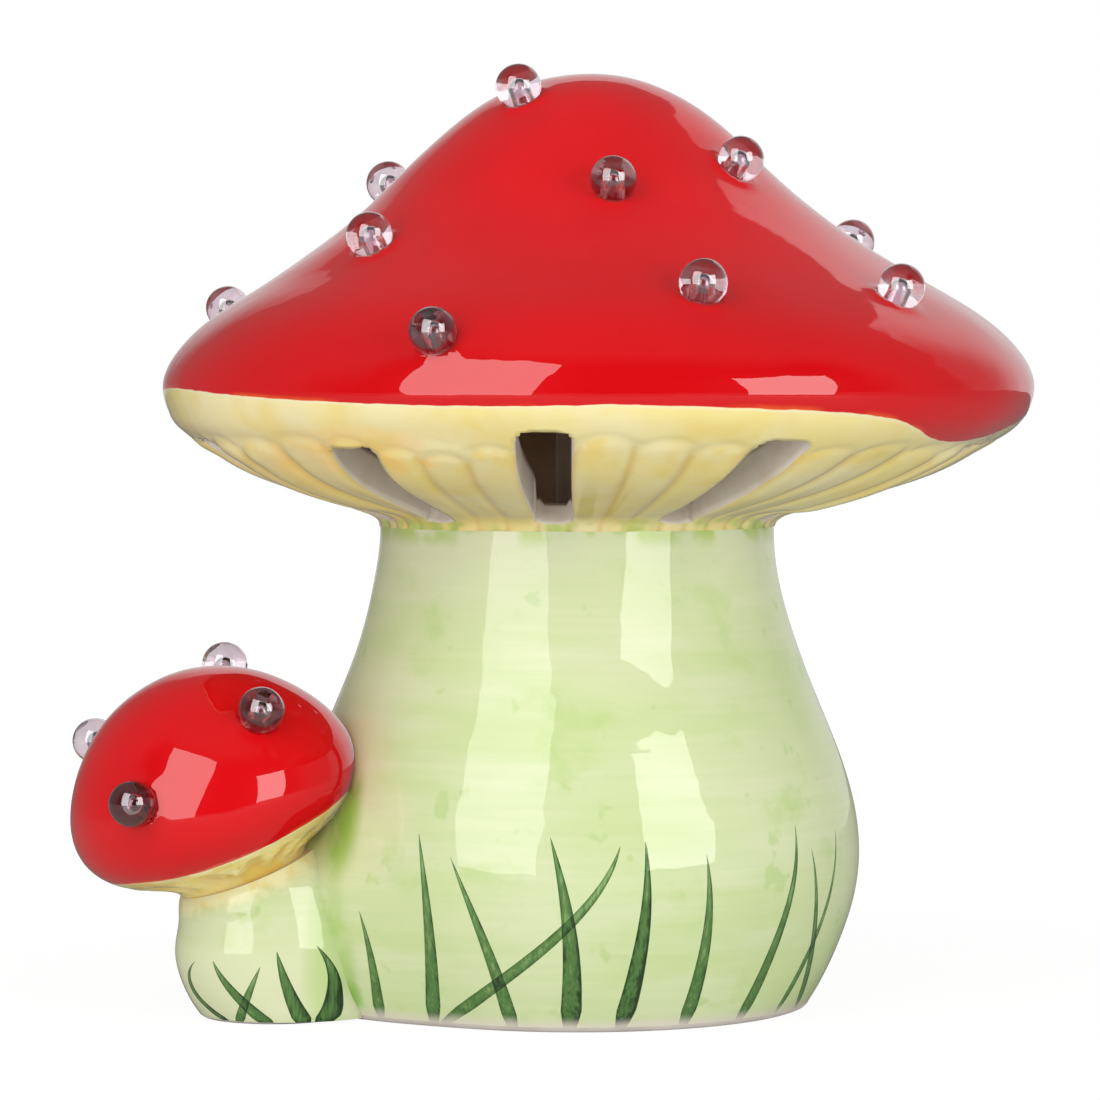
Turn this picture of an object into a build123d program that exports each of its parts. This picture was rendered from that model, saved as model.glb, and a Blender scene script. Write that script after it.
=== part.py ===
from build123d import *
from math import cos, hypot, radians, sin
import os

# A ceramic ornament of two toadstools on one foot. Clear globes are cemented into both caps. A battery
# lamp inside the hollow large stem lights the globes and shines out of slots in the gills.
# Millimetres. Z is up from the table, the large stem stands on the Z axis and the front faces -Y.

# Ceramic walls
wall = 5.0
small_wall = 4.0
lute_gap = 0.1              # slip joint between the two toadstools

# Large stem
stem_height = 114.5         # table to the neck seam
neck_radius = 47.2
belly_radius = 67.7
belly_height = 37.3
foot_radius = 55.0
foot_round = 1.5
floor_thickness = 5.0

# Large cap and its gills
cap_offset = 4.2            # the cap sits this far beside the stem axis, along X
cap_radius = 104.4
rim_rise = 32.6             # neck seam to the widest line of the cap
crown_rise = 75.6           # widest line to the top
lip_radius = 102.6          # seam between cap and gills
lip_drop = 5.3              # widest line down to that seam
slot_bearings = (-189, -158, -128, -97, -64, -23, 10, 40, 70)     # none at the back
slot_neck_width = 9.0
slot_lip_width = 13.5
slot_neck_land = 0.8
slot_lip_land = 3.6
slot_corner = 2.8

# Small toadstool, which leans straight away from the large one
small_bearing = 198.4
small_stand = 11.5          # its belly's axis outside the large belly
small_lean = 21.7
small_foot_radius = 17.6
small_foot_shift = 4.5      # the foot lies nearer to the large stem than the belly
small_belly_radius = 19.5
small_belly_height = 14.0
small_neck_radius = 15.8
small_rim_height = 47.3
small_rim_shift = 8.5
small_cap_radius = 33.6
small_crown_rise = 35.5
small_lip_radius = 29.0
small_lip_drop = 5.6
small_neck_drop = 14.0
port_radius = 6.0           # light passes from stem to stem here
port_height = 17.0

# Clear globes
globe_radius = 5.4
globe_lift = 3.1            # globe centre above the glaze
spigot_radius = 4.4
spigot_tail = 1.0           # spigot past the inside of the wall
cement_gap = 0.15
globe_bore = 2.0
globe_bore_top = 1.2        # bore centre above the globe centre

# Bearing round the cap and share of the way from top to lip, for each globe
large_globes = (
    (-131, 0.195), (-86, 0.44), (-42, 0.37), (-75, 0.76), (-40, 0.765), (20, 0.575),
    (-111, 0.87), (-138, 0.595), (162, 0.425), (164, 0.795), (75, 0.35), (50, 0.715),
    (95, 0.63), (123, 0.47), (130, 0.82), (88, 0.875),
)
small_globes = ((-136, 0.375), (113, 0.505), (-55, 0.495), (48, 0.65), (-130, 0.66), (-75, 0.78))

# Battery lamp unit
cell_diameter = 14.5
cell_length = 50.5
cell_count = 3
cell_gap = 0.4
button_radius = 2.75
button_height = 1.0
contact_thickness = 0.4
contact_width = 9.0
contact_reach = 5.0         # contact above and below the cell's axis
leaf_room = 2.6
leaf_width = 7.0
touch_gap = 0.1
tab_width = 3.0
tab_rise = 1.5
tab_gap = 0.3
bay_wall = 1.6
plate_lift = 1.0
plate_thickness = 3.0
plate_land = 4.0
plate_gap = 0.4
opening_gap = 1.0
door_thickness = 2.2
door_gap = 0.3
pin_radius = 0.8
pin_length = 2.2
pin_clearance = 0.05
notch_width = 14.0
notch_reach = 4.5
notch_depth = 1.6
stop_length = 4.0
stop_width = 0.9
stop_height = 2.0

# Slide switch
switch_length = 13.0
switch_width = 6.5
switch_height = 5.0
switch_travel = 2.0         # each way from the middle
slider_height = 2.0
knob_length = 4.0
knob_width = 2.6
knob_clearance = 0.3
slider_overlap = 1.0
slider_clearance = 0.05
knob_reach = 0.6            # knob below the plate

# Circuit board and lamp
board_length = 34.0
board_width = 11.0
board_thickness = 1.6
boss_radius = 2.4
boss_height = 3.0
boss_spread = 13.0
screw_radius = 0.9
screw_depth = 2.5
screw_head_radius = 1.9
screw_head_height = 1.3
screw_clearance = 0.1
post_radius = 5.0
post_bore = 3.4
post_height = 130.0
flange_radius = 9.0
flange_thickness = 2.0
unit_gap = 1.0
lamp_board_radius = 10.0
led_count = 5
led_radius = 2.5
led_height = 8.0
led_ring = 6.2
wire_radius = 0.6
wire_bend = 4.0
wire_spread = 1.3
wire_arch = 9.0
wire_port = 3.2
wire_port_height = 26.0     # above the foot of the lamp post

# Heights and radii that follow from the sizes above
recess_depth = plate_lift + plate_thickness
floor_top = recess_depth + floor_thickness
rim_height = stem_height + rim_rise
lip_height = rim_height - lip_drop
bay_length = cell_length + 2 * contact_thickness + leaf_room + touch_gap
bay_width = cell_count * cell_diameter + (cell_count + 1) * cell_gap
door_top = plate_lift + door_thickness
cell_height = door_top + cell_gap + cell_diameter / 2
roof_bottom = cell_height + cell_diameter / 2 + cell_gap
roof_top = roof_bottom + bay_wall
cell_pitch = cell_diameter + cell_gap
opening_radius = hypot(bay_length / 2 + bay_wall, bay_width / 2 + bay_wall) + opening_gap
plate_radius = opening_radius + plate_land
board_y = flange_radius + unit_gap + board_width / 2
board_bottom = roof_top + boss_height
board_top = board_bottom + board_thickness
switch_y = bay_width / 2 + bay_wall + unit_gap + switch_width / 2
switch_top = recess_depth + switch_height
post_top = roof_top + post_height
seat_radius = spigot_radius + cement_gap
small_distance = belly_radius + small_stand

os.makedirs("parts", exist_ok=True)


def save(piece, name):
    """Labels a finished piece and writes it as its own file."""
    piece.part.label = name
    export_step(piece.part, f"parts/{name}.step")


def inward(curve, share, depth):
    """The point that lies a depth inside an outline drawn from the top downwards."""
    point = curve @ share
    along = curve % share
    return (point.X + depth * along.Y, point.Y - depth * along.X)


def seam_inside(curve, share, depth):
    """The inner corner of a wall that is cut level at one end of its outline."""
    point = curve @ share
    return (point.X - depth / abs((curve % share).Y), point.Y)


def wall_section(plane, outer, inner):
    """The face between an outline and the inside of its wall."""
    with BuildSketch(plane) as section:
        with BuildLine():
            add(outer)
            add(inner)
            Line(outer @ 0, inner @ 0)
            Line(outer @ 1, inner @ 1)
        make_face()
    return section.sketch


def solid_section(plane, outline):
    """The face between an outline and its own axis."""
    top = outline @ 0
    bottom = outline @ 1
    with BuildSketch(plane) as section:
        with BuildLine():
            add(outline)
            Polyline((bottom.X, bottom.Y), (0, bottom.Y), (0, top.Y), (top.X, top.Y))
        make_face()
    return section.sketch


def seat_on(frame, curve, bearing, share):
    """The plane that lies on a cap at a bearing and a share of its outline, facing outwards."""
    point = curve @ share
    along = curve % share
    spoke = frame.x_dir.rotate(Axis((0, 0, 0), frame.z_dir), bearing)
    origin = frame.origin + spoke * point.X + frame.z_dir * point.Y
    normal = frame.z_dir * along.X - spoke * along.Y
    return Plane(origin, x_dir=frame.z_dir.cross(spoke), z_dir=normal)


def make_globe(name, seat, depth):
    """A clear globe on a spigot, with a blind domed bore that catches the light."""
    spigot_length = depth + spigot_tail
    with BuildPart(seat) as globe:
        with Locations((0, 0, globe_lift)):
            Sphere(globe_radius)
        with Locations((0, 0, -spigot_length)):
            Cylinder(spigot_radius, spigot_length, align=(Align.CENTER, Align.CENTER, Align.MIN))
            Cylinder(
                globe_bore,
                spigot_length + globe_lift + globe_bore_top,
                align=(Align.CENTER, Align.CENTER, Align.MIN),
                mode=Mode.SUBTRACT,
            )
        with Locations((0, 0, globe_lift + globe_bore_top)):
            Sphere(globe_bore, mode=Mode.SUBTRACT)
    save(globe, name)


# Outlines of the large toadstool, as radius and height, from the top downwards
stem_plane = Plane.XZ
cap_plane = Plane((cap_offset, 0, 0), x_dir=(1, 0, 0), z_dir=(0, -1, 0))
cap_frame = Plane((cap_offset, 0, 0))
cap_axis = Axis((cap_offset, 0, 0), (0, 0, 1))
lip_slope = (-0.52, -0.85)
small_lip_slope = (-0.79, -0.61)
straight_down = (0, -1)
level_out = (1, 0)

cap_flank = ((0.236, 0.905), (0.476, 0.619), (0.765, 0.333), (0.953, 0.143))
cap_curve = Spline(
    (0, rim_height + crown_rise),
    *[(across * cap_radius, rim_height + up * crown_rise) for across, up in cap_flank],
    (cap_radius, rim_height),
    (lip_radius, lip_height),
    tangents=(level_out, lip_slope),
)
cap_inside = Spline(
    (0, rim_height + crown_rise - wall),
    *[inward(cap_curve, share, wall) for share in (0.2, 0.4, 0.6, 0.75, 0.86)],
    seam_inside(cap_curve, 1, wall),
    tangents=(level_out, lip_slope),
)
gill_flank = ((0.91, 0.80), (0.727, 0.535), (0.374, 0.271), (0.108, 0.139))
gill_curve = Spline(
    (lip_radius, lip_height),
    *[
        (neck_radius + across * (lip_radius - neck_radius), stem_height + up * (lip_height - stem_height))
        for across, up in gill_flank
    ],
    (neck_radius, stem_height),
    tangents=(lip_slope, straight_down),
)
gill_inside = Spline(
    seam_inside(gill_curve, 0, wall),
    *[inward(gill_curve, share, wall) for share in (0.3, 0.6, 0.83)],
    seam_inside(gill_curve, 1, wall),
    tangents=(lip_slope, straight_down),
)
shoulder = ((0.33, 0.583), (0.75, 0.303))
stem_curve = Spline(
    (neck_radius, stem_height),
    *[
        (
            neck_radius + across * (belly_radius - neck_radius),
            belly_height + up * (stem_height - belly_height),
        )
        for across, up in shoulder
    ],
    (belly_radius, belly_height),
    (foot_radius + 0.57 * (belly_radius - foot_radius), 0.37 * belly_height),
    (foot_radius, 0),
    tangents=(straight_down, (-0.6, -0.8)),
)
stem_inside = Spline(
    (neck_radius - wall, stem_height),
    *[inward(stem_curve, share, wall) for share in (0.3, 0.5, 0.7, 0.88)],
    (foot_radius - wall, 0),
    tangents=(straight_down, (-0.6, -0.8)),
)

# Outlines of the small toadstool, about its own leaning axis
up = Vector(0, 0, 1)
away = Vector(1, 0, 0).rotate(Axis.Z, small_bearing)
lean_up = up * cos(radians(small_lean)) + away * sin(radians(small_lean))
lean_away = away * cos(radians(small_lean)) - up * sin(radians(small_lean))
small_foot = away * small_distance
small_rim = small_foot + away * small_rim_shift + up * small_rim_height
small_neck = small_rim - lean_up * small_neck_drop
small_frame = Plane(small_rim, x_dir=lean_away, z_dir=lean_up)
small_plane = Plane(small_rim, x_dir=lean_away, z_dir=lean_away.cross(lean_up))
small_axis = Axis(small_rim, lean_up)

small_curve = Spline(
    (0, small_crown_rise),
    (0.75 * small_cap_radius, 0.69 * small_crown_rise),
    (small_cap_radius, 0),
    (small_lip_radius, -small_lip_drop),
    tangents=(level_out, small_lip_slope),
)
small_inside = Spline(
    (0, small_crown_rise - small_wall),
    *[inward(small_curve, share, small_wall) for share in (0.45, 0.88)],
    seam_inside(small_curve, 1, small_wall),
    tangents=(level_out, small_lip_slope),
)
small_gill_curve = Spline(
    (small_lip_radius, -small_lip_drop),
    (small_neck_radius, -small_neck_drop),
    tangents=(small_lip_slope, (-0.5, -0.87)),
)
small_gill_inside = Spline(
    seam_inside(small_gill_curve, 0, small_wall),
    seam_inside(small_gill_curve, 1, small_wall),
    tangents=(small_lip_slope, (-0.5, -0.87)),
)
small_port = Plane(up * port_height, x_dir=up, z_dir=away)

large_seats = [seat_on(cap_frame, cap_curve, bearing, share) for bearing, share in large_globes]
small_seats = [seat_on(small_frame, small_curve, bearing, share) for bearing, share in small_globes]

# Large cap: a red glazed shell, open below, drilled for its globes
with BuildPart() as large_cap:
    revolve(wall_section(cap_plane, cap_curve, cap_inside), axis=cap_axis)
    with Locations(large_seats):
        Cylinder(seat_radius, 4 * wall, mode=Mode.SUBTRACT)
save(large_cap, "large_cap")


def gill_circle(curve, share):
    """A level circle of the gills, whose centre drifts from the stem axis out to the cap axis."""
    point = curve @ share
    drift = cap_offset * (point.Y - stem_height) / (lip_height - stem_height)
    with BuildSketch(Plane((drift, 0, point.Y))) as circle:
        Circle(point.X)
    return circle.sketch


# Gills: the dished underside of the large cap, with slots that let the light out
gill_shares = (0, 0.1, 0.2, 0.35, 0.5, 0.65, 0.8, 0.92, 1)
slot_start = neck_radius + slot_neck_land
slot_end = lip_radius - slot_lip_land


def gill_slot(bearing):
    """The plan of a slot, from just outside the neck to just inside the lip, whose centres differ."""
    spoke = Vector(1, 0, 0).rotate(Axis.Z, bearing)
    side = Vector(0, 1, 0).rotate(Axis.Z, bearing)
    start = spoke * slot_start
    end = Vector(cap_offset, 0, 0) + spoke * slot_end
    with BuildSketch() as slot:
        with BuildLine():
            Polyline(
                start - side * slot_neck_width / 2,
                end - side * slot_lip_width / 2,
                end + side * slot_lip_width / 2,
                start + side * slot_neck_width / 2,
                close=True,
            )
        make_face()
        fillet(slot.vertices(), slot_corner)
    return slot.sketch


with BuildPart() as gill_plate:
    loft([gill_circle(gill_curve, share) for share in gill_shares])
    loft([gill_circle(gill_inside, share) for share in gill_shares], mode=Mode.SUBTRACT)
    with BuildSketch(Plane((0, 0, stem_height))):
        for bearing in slot_bearings:
            add(gill_slot(bearing))
    extrude(amount=lip_height - stem_height + wall, mode=Mode.SUBTRACT)
save(gill_plate, "gill_plate")

# Large stem: hollow, with a floor that the lamp unit is let into
with BuildPart() as large_stem:
    revolve(solid_section(stem_plane, stem_curve), axis=Axis.Z)
    fillet(large_stem.faces().sort_by(Axis.Z)[0].edges(), foot_round)
    with BuildSketch(stem_plane) as hollow:
        add(solid_section(Plane.XY, stem_inside))
        Rectangle(foot_radius * 2, floor_top, align=(Align.CENTER, Align.MIN), mode=Mode.SUBTRACT)
    revolve(axis=Axis.Z, mode=Mode.SUBTRACT)
    Cylinder(opening_radius, 4 * floor_top, mode=Mode.SUBTRACT)
    Cylinder(plate_radius + plate_gap, 2 * recess_depth, mode=Mode.SUBTRACT)
    with BuildSketch(small_port):
        Circle(port_radius)
    extrude(amount=small_distance, mode=Mode.SUBTRACT)
save(large_stem, "large_stem")

# What the small toadstool is shaped to, so that it beds against the large stem
with BuildPart() as stem_envelope:
    revolve(solid_section(stem_plane, stem_curve), axis=Axis.Z)
    offset(amount=lute_gap)

with BuildPart() as small_cap:
    revolve(wall_section(small_plane, small_curve, small_inside), axis=small_axis)
    with Locations(small_seats):
        Cylinder(seat_radius, 4 * small_wall, mode=Mode.SUBTRACT)
    add(stem_envelope.part, mode=Mode.SUBTRACT)
save(small_cap, "small_cap")

with BuildPart() as small_gill_ring:
    revolve(wall_section(small_plane, small_gill_curve, small_gill_inside), axis=small_axis)
    add(stem_envelope.part, mode=Mode.SUBTRACT)
save(small_gill_ring, "small_gill_ring")


def small_circle(ring, inset):
    """A circle of the small stem, given its height, its way out, its share of the lean and its radius."""
    height, shift, lean, radius = ring
    tilt = radians(small_lean * lean)
    middle = small_foot + away * shift + up * height
    facing = up * cos(tilt) + away * sin(tilt)
    with BuildSketch(Plane(middle, x_dir=up.cross(away), z_dir=facing)) as circle:
        Circle(radius - inset)
    return circle.sketch


# Small stem: a bulging cup that bends towards its leaning cap
small_neck_height = small_neck.Z
small_neck_shift = (small_neck - small_foot).dot(away)
small_swell = small_belly_radius - small_foot_radius
small_taper = small_belly_radius - small_neck_radius
small_rings = (
    (0, -small_foot_shift, 0, small_foot_radius),
    (0.4 * small_belly_height, -0.45 * small_foot_shift, 0, small_foot_radius + 0.65 * small_swell),
    (small_belly_height, 0, 0, small_belly_radius),
    (0.75 * small_neck_height, 0.5 * small_neck_shift, 0.5, small_neck_radius + 0.4 * small_taper),
    (small_neck_height, small_neck_shift, 1, small_neck_radius),
)
with BuildPart() as small_stem:
    loft([small_circle(ring, 0) for ring in small_rings])
    loft([small_circle(ring, small_wall) for ring in small_rings], mode=Mode.SUBTRACT)
    with BuildSketch(Plane(small_foot - away * small_foot_shift)):
        Circle(small_foot_radius - small_wall / 2)
    extrude(amount=small_wall)
    add(stem_envelope.part, mode=Mode.SUBTRACT)
    with BuildSketch(small_port):
        Circle(port_radius)
    extrude(amount=small_distance, mode=Mode.SUBTRACT)
save(small_stem, "small_stem")

# Globes, each cemented into its own seat
for number, seat in enumerate(large_seats, 1):
    make_globe(f"globe_{number:02d}", seat, wall)
for number, seat in enumerate(small_seats, 1):
    make_globe(f"small_globe_{number}", seat, small_wall)

# Base plate: closes the foot, and holds the battery bay and the bosses of the circuit board
hinge_x = bay_length / 2 - door_gap - door_thickness / 2
hinge_height = plate_lift + door_thickness / 2
door_width = bay_width - 2 * door_gap
on_floor = (Align.CENTER, Align.CENTER, Align.MIN)
tab_x = bay_length / 2 - contact_thickness / 2
tab_y = (cell_count - 1) / 2 * cell_pitch
tab_spots = ((tab_x, -tab_y), (-tab_x, tab_y))
boss_spots = ((-boss_spread, board_y), (boss_spread, board_y))
slot_length = knob_length + 2 * switch_travel + 2 * knob_clearance
slot_width = knob_width + 2 * knob_clearance
stop_x = stop_length / 2 - bay_length / 2
stop_y = bay_width / 2 - stop_width / 2
with BuildPart() as base_plate:
    with Locations((0, 0, plate_lift)):
        Cylinder(plate_radius, plate_thickness, align=on_floor)
        Box(bay_length + 2 * bay_wall, bay_width + 2 * bay_wall, roof_top - plate_lift, align=on_floor)
        Box(bay_length, bay_width, roof_bottom - plate_lift, align=on_floor, mode=Mode.SUBTRACT)
    with Locations((-bay_length / 2, 0, plate_lift)):
        Box(2 * notch_reach, notch_width, 2 * notch_depth, mode=Mode.SUBTRACT)
    with Locations((stop_x, -stop_y, door_top + door_gap), (stop_x, stop_y, door_top + door_gap)):
        Box(stop_length, stop_width, stop_height, align=on_floor)
    with Locations((hinge_x, 0, hinge_height)):
        Cylinder(
            pin_radius + pin_clearance,
            door_width + 2 * pin_length + 2 * door_gap,
            rotation=(90, 0, 0),
            mode=Mode.SUBTRACT,
        )
    with Locations((0, switch_y, plate_lift)):
        Box(slot_length, slot_width, plate_thickness, align=on_floor, mode=Mode.SUBTRACT)
    with Locations([(x, y, roof_bottom) for x, y in tab_spots]):
        Box(
            contact_thickness + 2 * tab_gap,
            tab_width + 2 * tab_gap,
            bay_wall,
            align=on_floor,
            mode=Mode.SUBTRACT,
        )
    with Locations([(x, y, roof_top) for x, y in boss_spots]):
        Cylinder(boss_radius, boss_height, align=on_floor)
    with Locations([(x, y, board_bottom) for x, y in boss_spots]):
        Cylinder(
            screw_radius + screw_clearance / 2,
            screw_depth + screw_clearance,
            align=(Align.CENTER, Align.CENTER, Align.MAX),
            mode=Mode.SUBTRACT,
        )
save(base_plate, "base_plate")

# Battery door: hinged on two pins at its right-hand end
with BuildPart() as battery_door:
    door_reach = hinge_x + bay_length / 2 - door_gap
    with Locations((hinge_x - door_reach / 2, 0, plate_lift)):
        Box(door_reach, door_width, door_thickness, align=on_floor)
    with Locations((hinge_x, 0, hinge_height)):
        Cylinder(door_thickness / 2, door_width, rotation=(90, 0, 0))
        Cylinder(pin_radius, door_width + 2 * pin_length, rotation=(90, 0, 0))
save(battery_door, "battery_door")

# Cells, side by side and turned about in turn, each with its button against a contact
cell_ends = [1 if number % 2 == 0 else -1 for number in range(cell_count)]
cell_rows = [(number - (cell_count - 1) / 2) * cell_pitch for number in range(cell_count)]
button_tip = bay_length / 2 - contact_thickness - touch_gap
for number, (end, row) in enumerate(zip(cell_ends, cell_rows), 1):
    with BuildPart(Plane((end * button_tip, row, cell_height), x_dir=(0, 1, 0), z_dir=(-end, 0, 0))) as cell:
        Cylinder(button_radius, button_height, align=on_floor)
        with Locations((0, 0, button_height)):
            Cylinder(cell_diameter / 2, cell_length - button_height, align=on_floor)
    save(cell, f"aa_cell_{number}")


def contact_blade(side, first, last, leaf_rows):
    """A contact on an end wall of the bay, from one cell to another, with a bowed leaf at each minus end."""
    blade_width = last - first + contact_width
    blade_x = side * (bay_length / 2 - contact_thickness / 2)
    bow = leaf_room - touch_gap
    face_x = side * (bay_length / 2 - contact_thickness)
    inner_x = face_x - side * (bow - contact_thickness)
    tip_x = face_x - side * bow
    low = cell_height - contact_reach
    high = cell_height + contact_reach
    with BuildPart() as blade:
        with Locations((blade_x, (first + last) / 2, cell_height)):
            Box(contact_thickness, blade_width, 2 * contact_reach)
        for row in leaf_rows:
            with BuildSketch(Plane.XZ.offset(-row - leaf_width / 2)):
                with BuildLine():
                    ThreePointArc((face_x, low), (tip_x, cell_height), (face_x, high))
                    Line((face_x, high), (face_x, high - contact_thickness))
                    ThreePointArc(
                        (face_x, high - contact_thickness),
                        (inner_x, cell_height),
                        (face_x, low + contact_thickness),
                    )
                    Line((face_x, low + contact_thickness), (face_x, low))
                make_face()
            extrude(amount=leaf_width)
    return blade.part


def contact_tab(spot):
    """A tab that carries an end contact up through the roof of the bay."""
    with BuildPart() as tab:
        with Locations((*spot, cell_height + contact_reach)):
            Box(
                contact_thickness,
                tab_width,
                roof_top + tab_rise - cell_height - contact_reach,
                align=on_floor,
            )
    return tab.part


# Contacts: two join neighbouring cells and two end the row, each of those with a tab for its wire
first_row, middle_row, last_row = cell_rows
with BuildPart() as battery_contacts:
    add(contact_blade(1, first_row, first_row, ()))
    add(contact_tab(tab_spots[0]))
    add(contact_blade(1, middle_row, last_row, (middle_row,)))
    add(contact_blade(-1, first_row, middle_row, (first_row,)))
    add(contact_blade(-1, last_row, last_row, (last_row,)))
    add(contact_tab(tab_spots[1]))
save(battery_contacts, "battery_contacts")

# Slide switch: a shell on the base plate, and a knob that hangs through the plate
pocket_length = slot_length + 2 * slider_overlap
pocket_width = slot_width + 2 * slider_overlap
with BuildPart() as switch_body:
    with Locations((0, switch_y, recess_depth)):
        Box(switch_length, switch_width, switch_height, align=on_floor)
        Box(
            pocket_length,
            pocket_width,
            slider_height + 2 * knob_clearance,
            align=on_floor,
            mode=Mode.SUBTRACT,
        )
save(switch_body, "switch_body")

with BuildPart() as switch_knob:
    with Locations((0, switch_y, plate_lift - knob_reach)):
        Box(knob_length, knob_width, knob_reach + plate_thickness + slider_clearance, align=on_floor)
    with Locations((0, switch_y, recess_depth + slider_clearance)):
        Box(
            knob_length + 2 * slider_overlap,
            slot_width + 2 * slider_overlap - 2 * knob_clearance,
            slider_height,
            align=on_floor,
        )
save(switch_knob, "switch_knob")

# Circuit board on its bosses, and the screws that hold it
with BuildPart() as circuit_board:
    with Locations((0, board_y, board_bottom)):
        Box(board_length, board_width, board_thickness, align=on_floor)
    with Locations([(x, y, board_bottom) for x, y in boss_spots]):
        Cylinder(
            screw_radius + screw_clearance,
            board_thickness,
            align=on_floor,
            mode=Mode.SUBTRACT,
        )
save(circuit_board, "circuit_board")

with BuildPart() as board_screws:
    with Locations([(x, y, board_top) for x, y in boss_spots]):
        Cylinder(screw_head_radius, screw_head_height, align=on_floor)
        Cylinder(
            screw_radius,
            board_thickness + screw_depth,
            align=(Align.CENTER, Align.CENTER, Align.MAX),
        )
save(board_screws, "board_screws")

# Lamp post: a tube on the roof of the bay that carries the lamp up into the cap
with BuildPart() as lamp_post:
    with Locations((0, 0, roof_top)):
        Cylinder(flange_radius, flange_thickness, align=on_floor)
        Cylinder(post_radius, post_height, align=on_floor)
    with Locations((0, 0, post_top)):
        Cylinder(lamp_board_radius, flange_thickness, align=(Align.CENTER, Align.CENTER, Align.MAX))
    with Locations((0, 0, roof_top)):
        Cylinder(post_bore, post_height, align=on_floor, mode=Mode.SUBTRACT)
    with BuildSketch(Plane((0, 0, roof_top + wire_port_height), x_dir=(1, 0, 0), z_dir=(0, 1, 0))):
        Circle(wire_port)
    extrude(amount=2 * post_radius, mode=Mode.SUBTRACT)
save(lamp_post, "lamp_post")

with BuildPart() as lamp_board:
    with Locations((0, 0, post_top)):
        Cylinder(lamp_board_radius, board_thickness, align=on_floor)
save(lamp_board, "lamp_board")

with BuildPart() as lamp_leds:
    with Locations((0, 0, post_top + board_thickness)):
        with PolarLocations(led_ring, led_count):
            Cylinder(led_radius, led_height - led_radius, align=on_floor)
            with Locations((0, 0, led_height - led_radius)):
                Sphere(led_radius)
save(lamp_leds, "lamp_leds")


def make_wire(points):
    """A wire along straight runs joined by bends."""
    with BuildPart() as wire:
        with BuildLine() as route:
            FilletPolyline(*points, radius=wire_bend)
        with BuildSketch(Plane(route.line @ 0, z_dir=route.line % 0)):
            Circle(wire_radius)
        sweep()
    return wire.part


# Wires: up the post to the lamp, and in arches from the switch and the cells to the board
post_entry = roof_top + wire_port_height
lamp_start = board_y - board_width / 4
lamp_turn = post_entry - (lamp_start - post_radius)
with BuildPart() as lamp_wires:
    for x in (-wire_spread, wire_spread):
        add(
            make_wire(
                (
                    (x, lamp_start, board_top),
                    (x, lamp_start, lamp_turn),
                    (x, 0, lamp_turn + lamp_start),
                    (x, 0, post_top),
                )
            )
        )
save(lamp_wires, "lamp_wires")

switch_lead = board_y + board_width / 4
arch_top = board_top + wire_arch
with BuildPart() as switch_wires:
    for x in (-wire_spread, wire_spread):
        add(
            make_wire(
                (
                    (x, switch_y, switch_top),
                    (x, switch_y, arch_top),
                    (x, switch_lead, arch_top),
                    (x, switch_lead, board_top),
                )
            )
        )
save(switch_wires, "switch_wires")

board_lead = boss_spread - boss_radius - 2 * wire_radius
with BuildPart() as battery_wires:
    for x, y in tab_spots:
        lead_x = board_lead if x > 0 else -board_lead
        add(
            make_wire(
                (
                    (x, y, roof_top + tab_rise),
                    (x, y, arch_top),
                    (lead_x, board_y, arch_top),
                    (lead_x, board_y, board_top),
                )
            )
        )
save(battery_wires, "battery_wires")
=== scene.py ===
from math import cos, hypot, pi, radians, sin, sqrt

import bpy
import numpy as np
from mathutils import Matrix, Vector, noise


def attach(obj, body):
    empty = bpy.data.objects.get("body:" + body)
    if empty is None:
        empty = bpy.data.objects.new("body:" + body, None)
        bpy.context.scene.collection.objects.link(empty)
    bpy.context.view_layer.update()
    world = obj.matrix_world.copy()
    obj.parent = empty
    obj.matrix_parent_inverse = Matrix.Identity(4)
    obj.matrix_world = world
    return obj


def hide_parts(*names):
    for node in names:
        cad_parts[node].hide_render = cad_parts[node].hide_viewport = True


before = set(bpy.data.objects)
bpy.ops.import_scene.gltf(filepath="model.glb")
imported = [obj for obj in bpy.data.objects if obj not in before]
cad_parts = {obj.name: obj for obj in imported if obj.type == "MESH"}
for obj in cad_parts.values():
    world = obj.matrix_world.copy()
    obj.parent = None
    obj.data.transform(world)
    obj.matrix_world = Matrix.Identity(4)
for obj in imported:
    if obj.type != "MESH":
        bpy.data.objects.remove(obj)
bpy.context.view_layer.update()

# A ceramic ornament of two toadstools, glazed and painted by hand, with clear globes in the caps.
# Sizes are in millimetres, from the table under the large stem's axis. The front faces -Y.
MM = 0.001
FAR_OFF = 1e3
WALL = 5.0
SMALL_WALL = 4.0
CAP_X = 4.2
NECK = 114.5
NECK_RADIUS = 47.2
LIP_Z = 141.8
CAP = (
    (0, 222.7), (24.6, 215.5), (49.7, 193.9), (79.9, 172.3), (99.5, 157.9), (104.4, 147.1), (102.6, LIP_Z),
)
GILL = ((102.6, LIP_Z), (97.6, 136.3), (87.5, 129.1), (67.9, 121.9), (53.2, 118.3), (NECK_RADIUS, NECK))
STEM = ((NECK_RADIUS, NECK), (54.0, 82.3), (62.6, 60.7), (67.7, 37.3), (62.2, 13.8), (55.0, 0))
LIP_SLOPE = (-0.52, -0.85)
SMALL_LIP_SLOPE = (-0.79, -0.61)
SMALL_NECK_SLOPE = (-0.5, -0.87)
FOOT_SLOPE = (-0.6, -0.8)
DOWN = (0, -1)
LEVEL = (1, 0)

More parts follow.
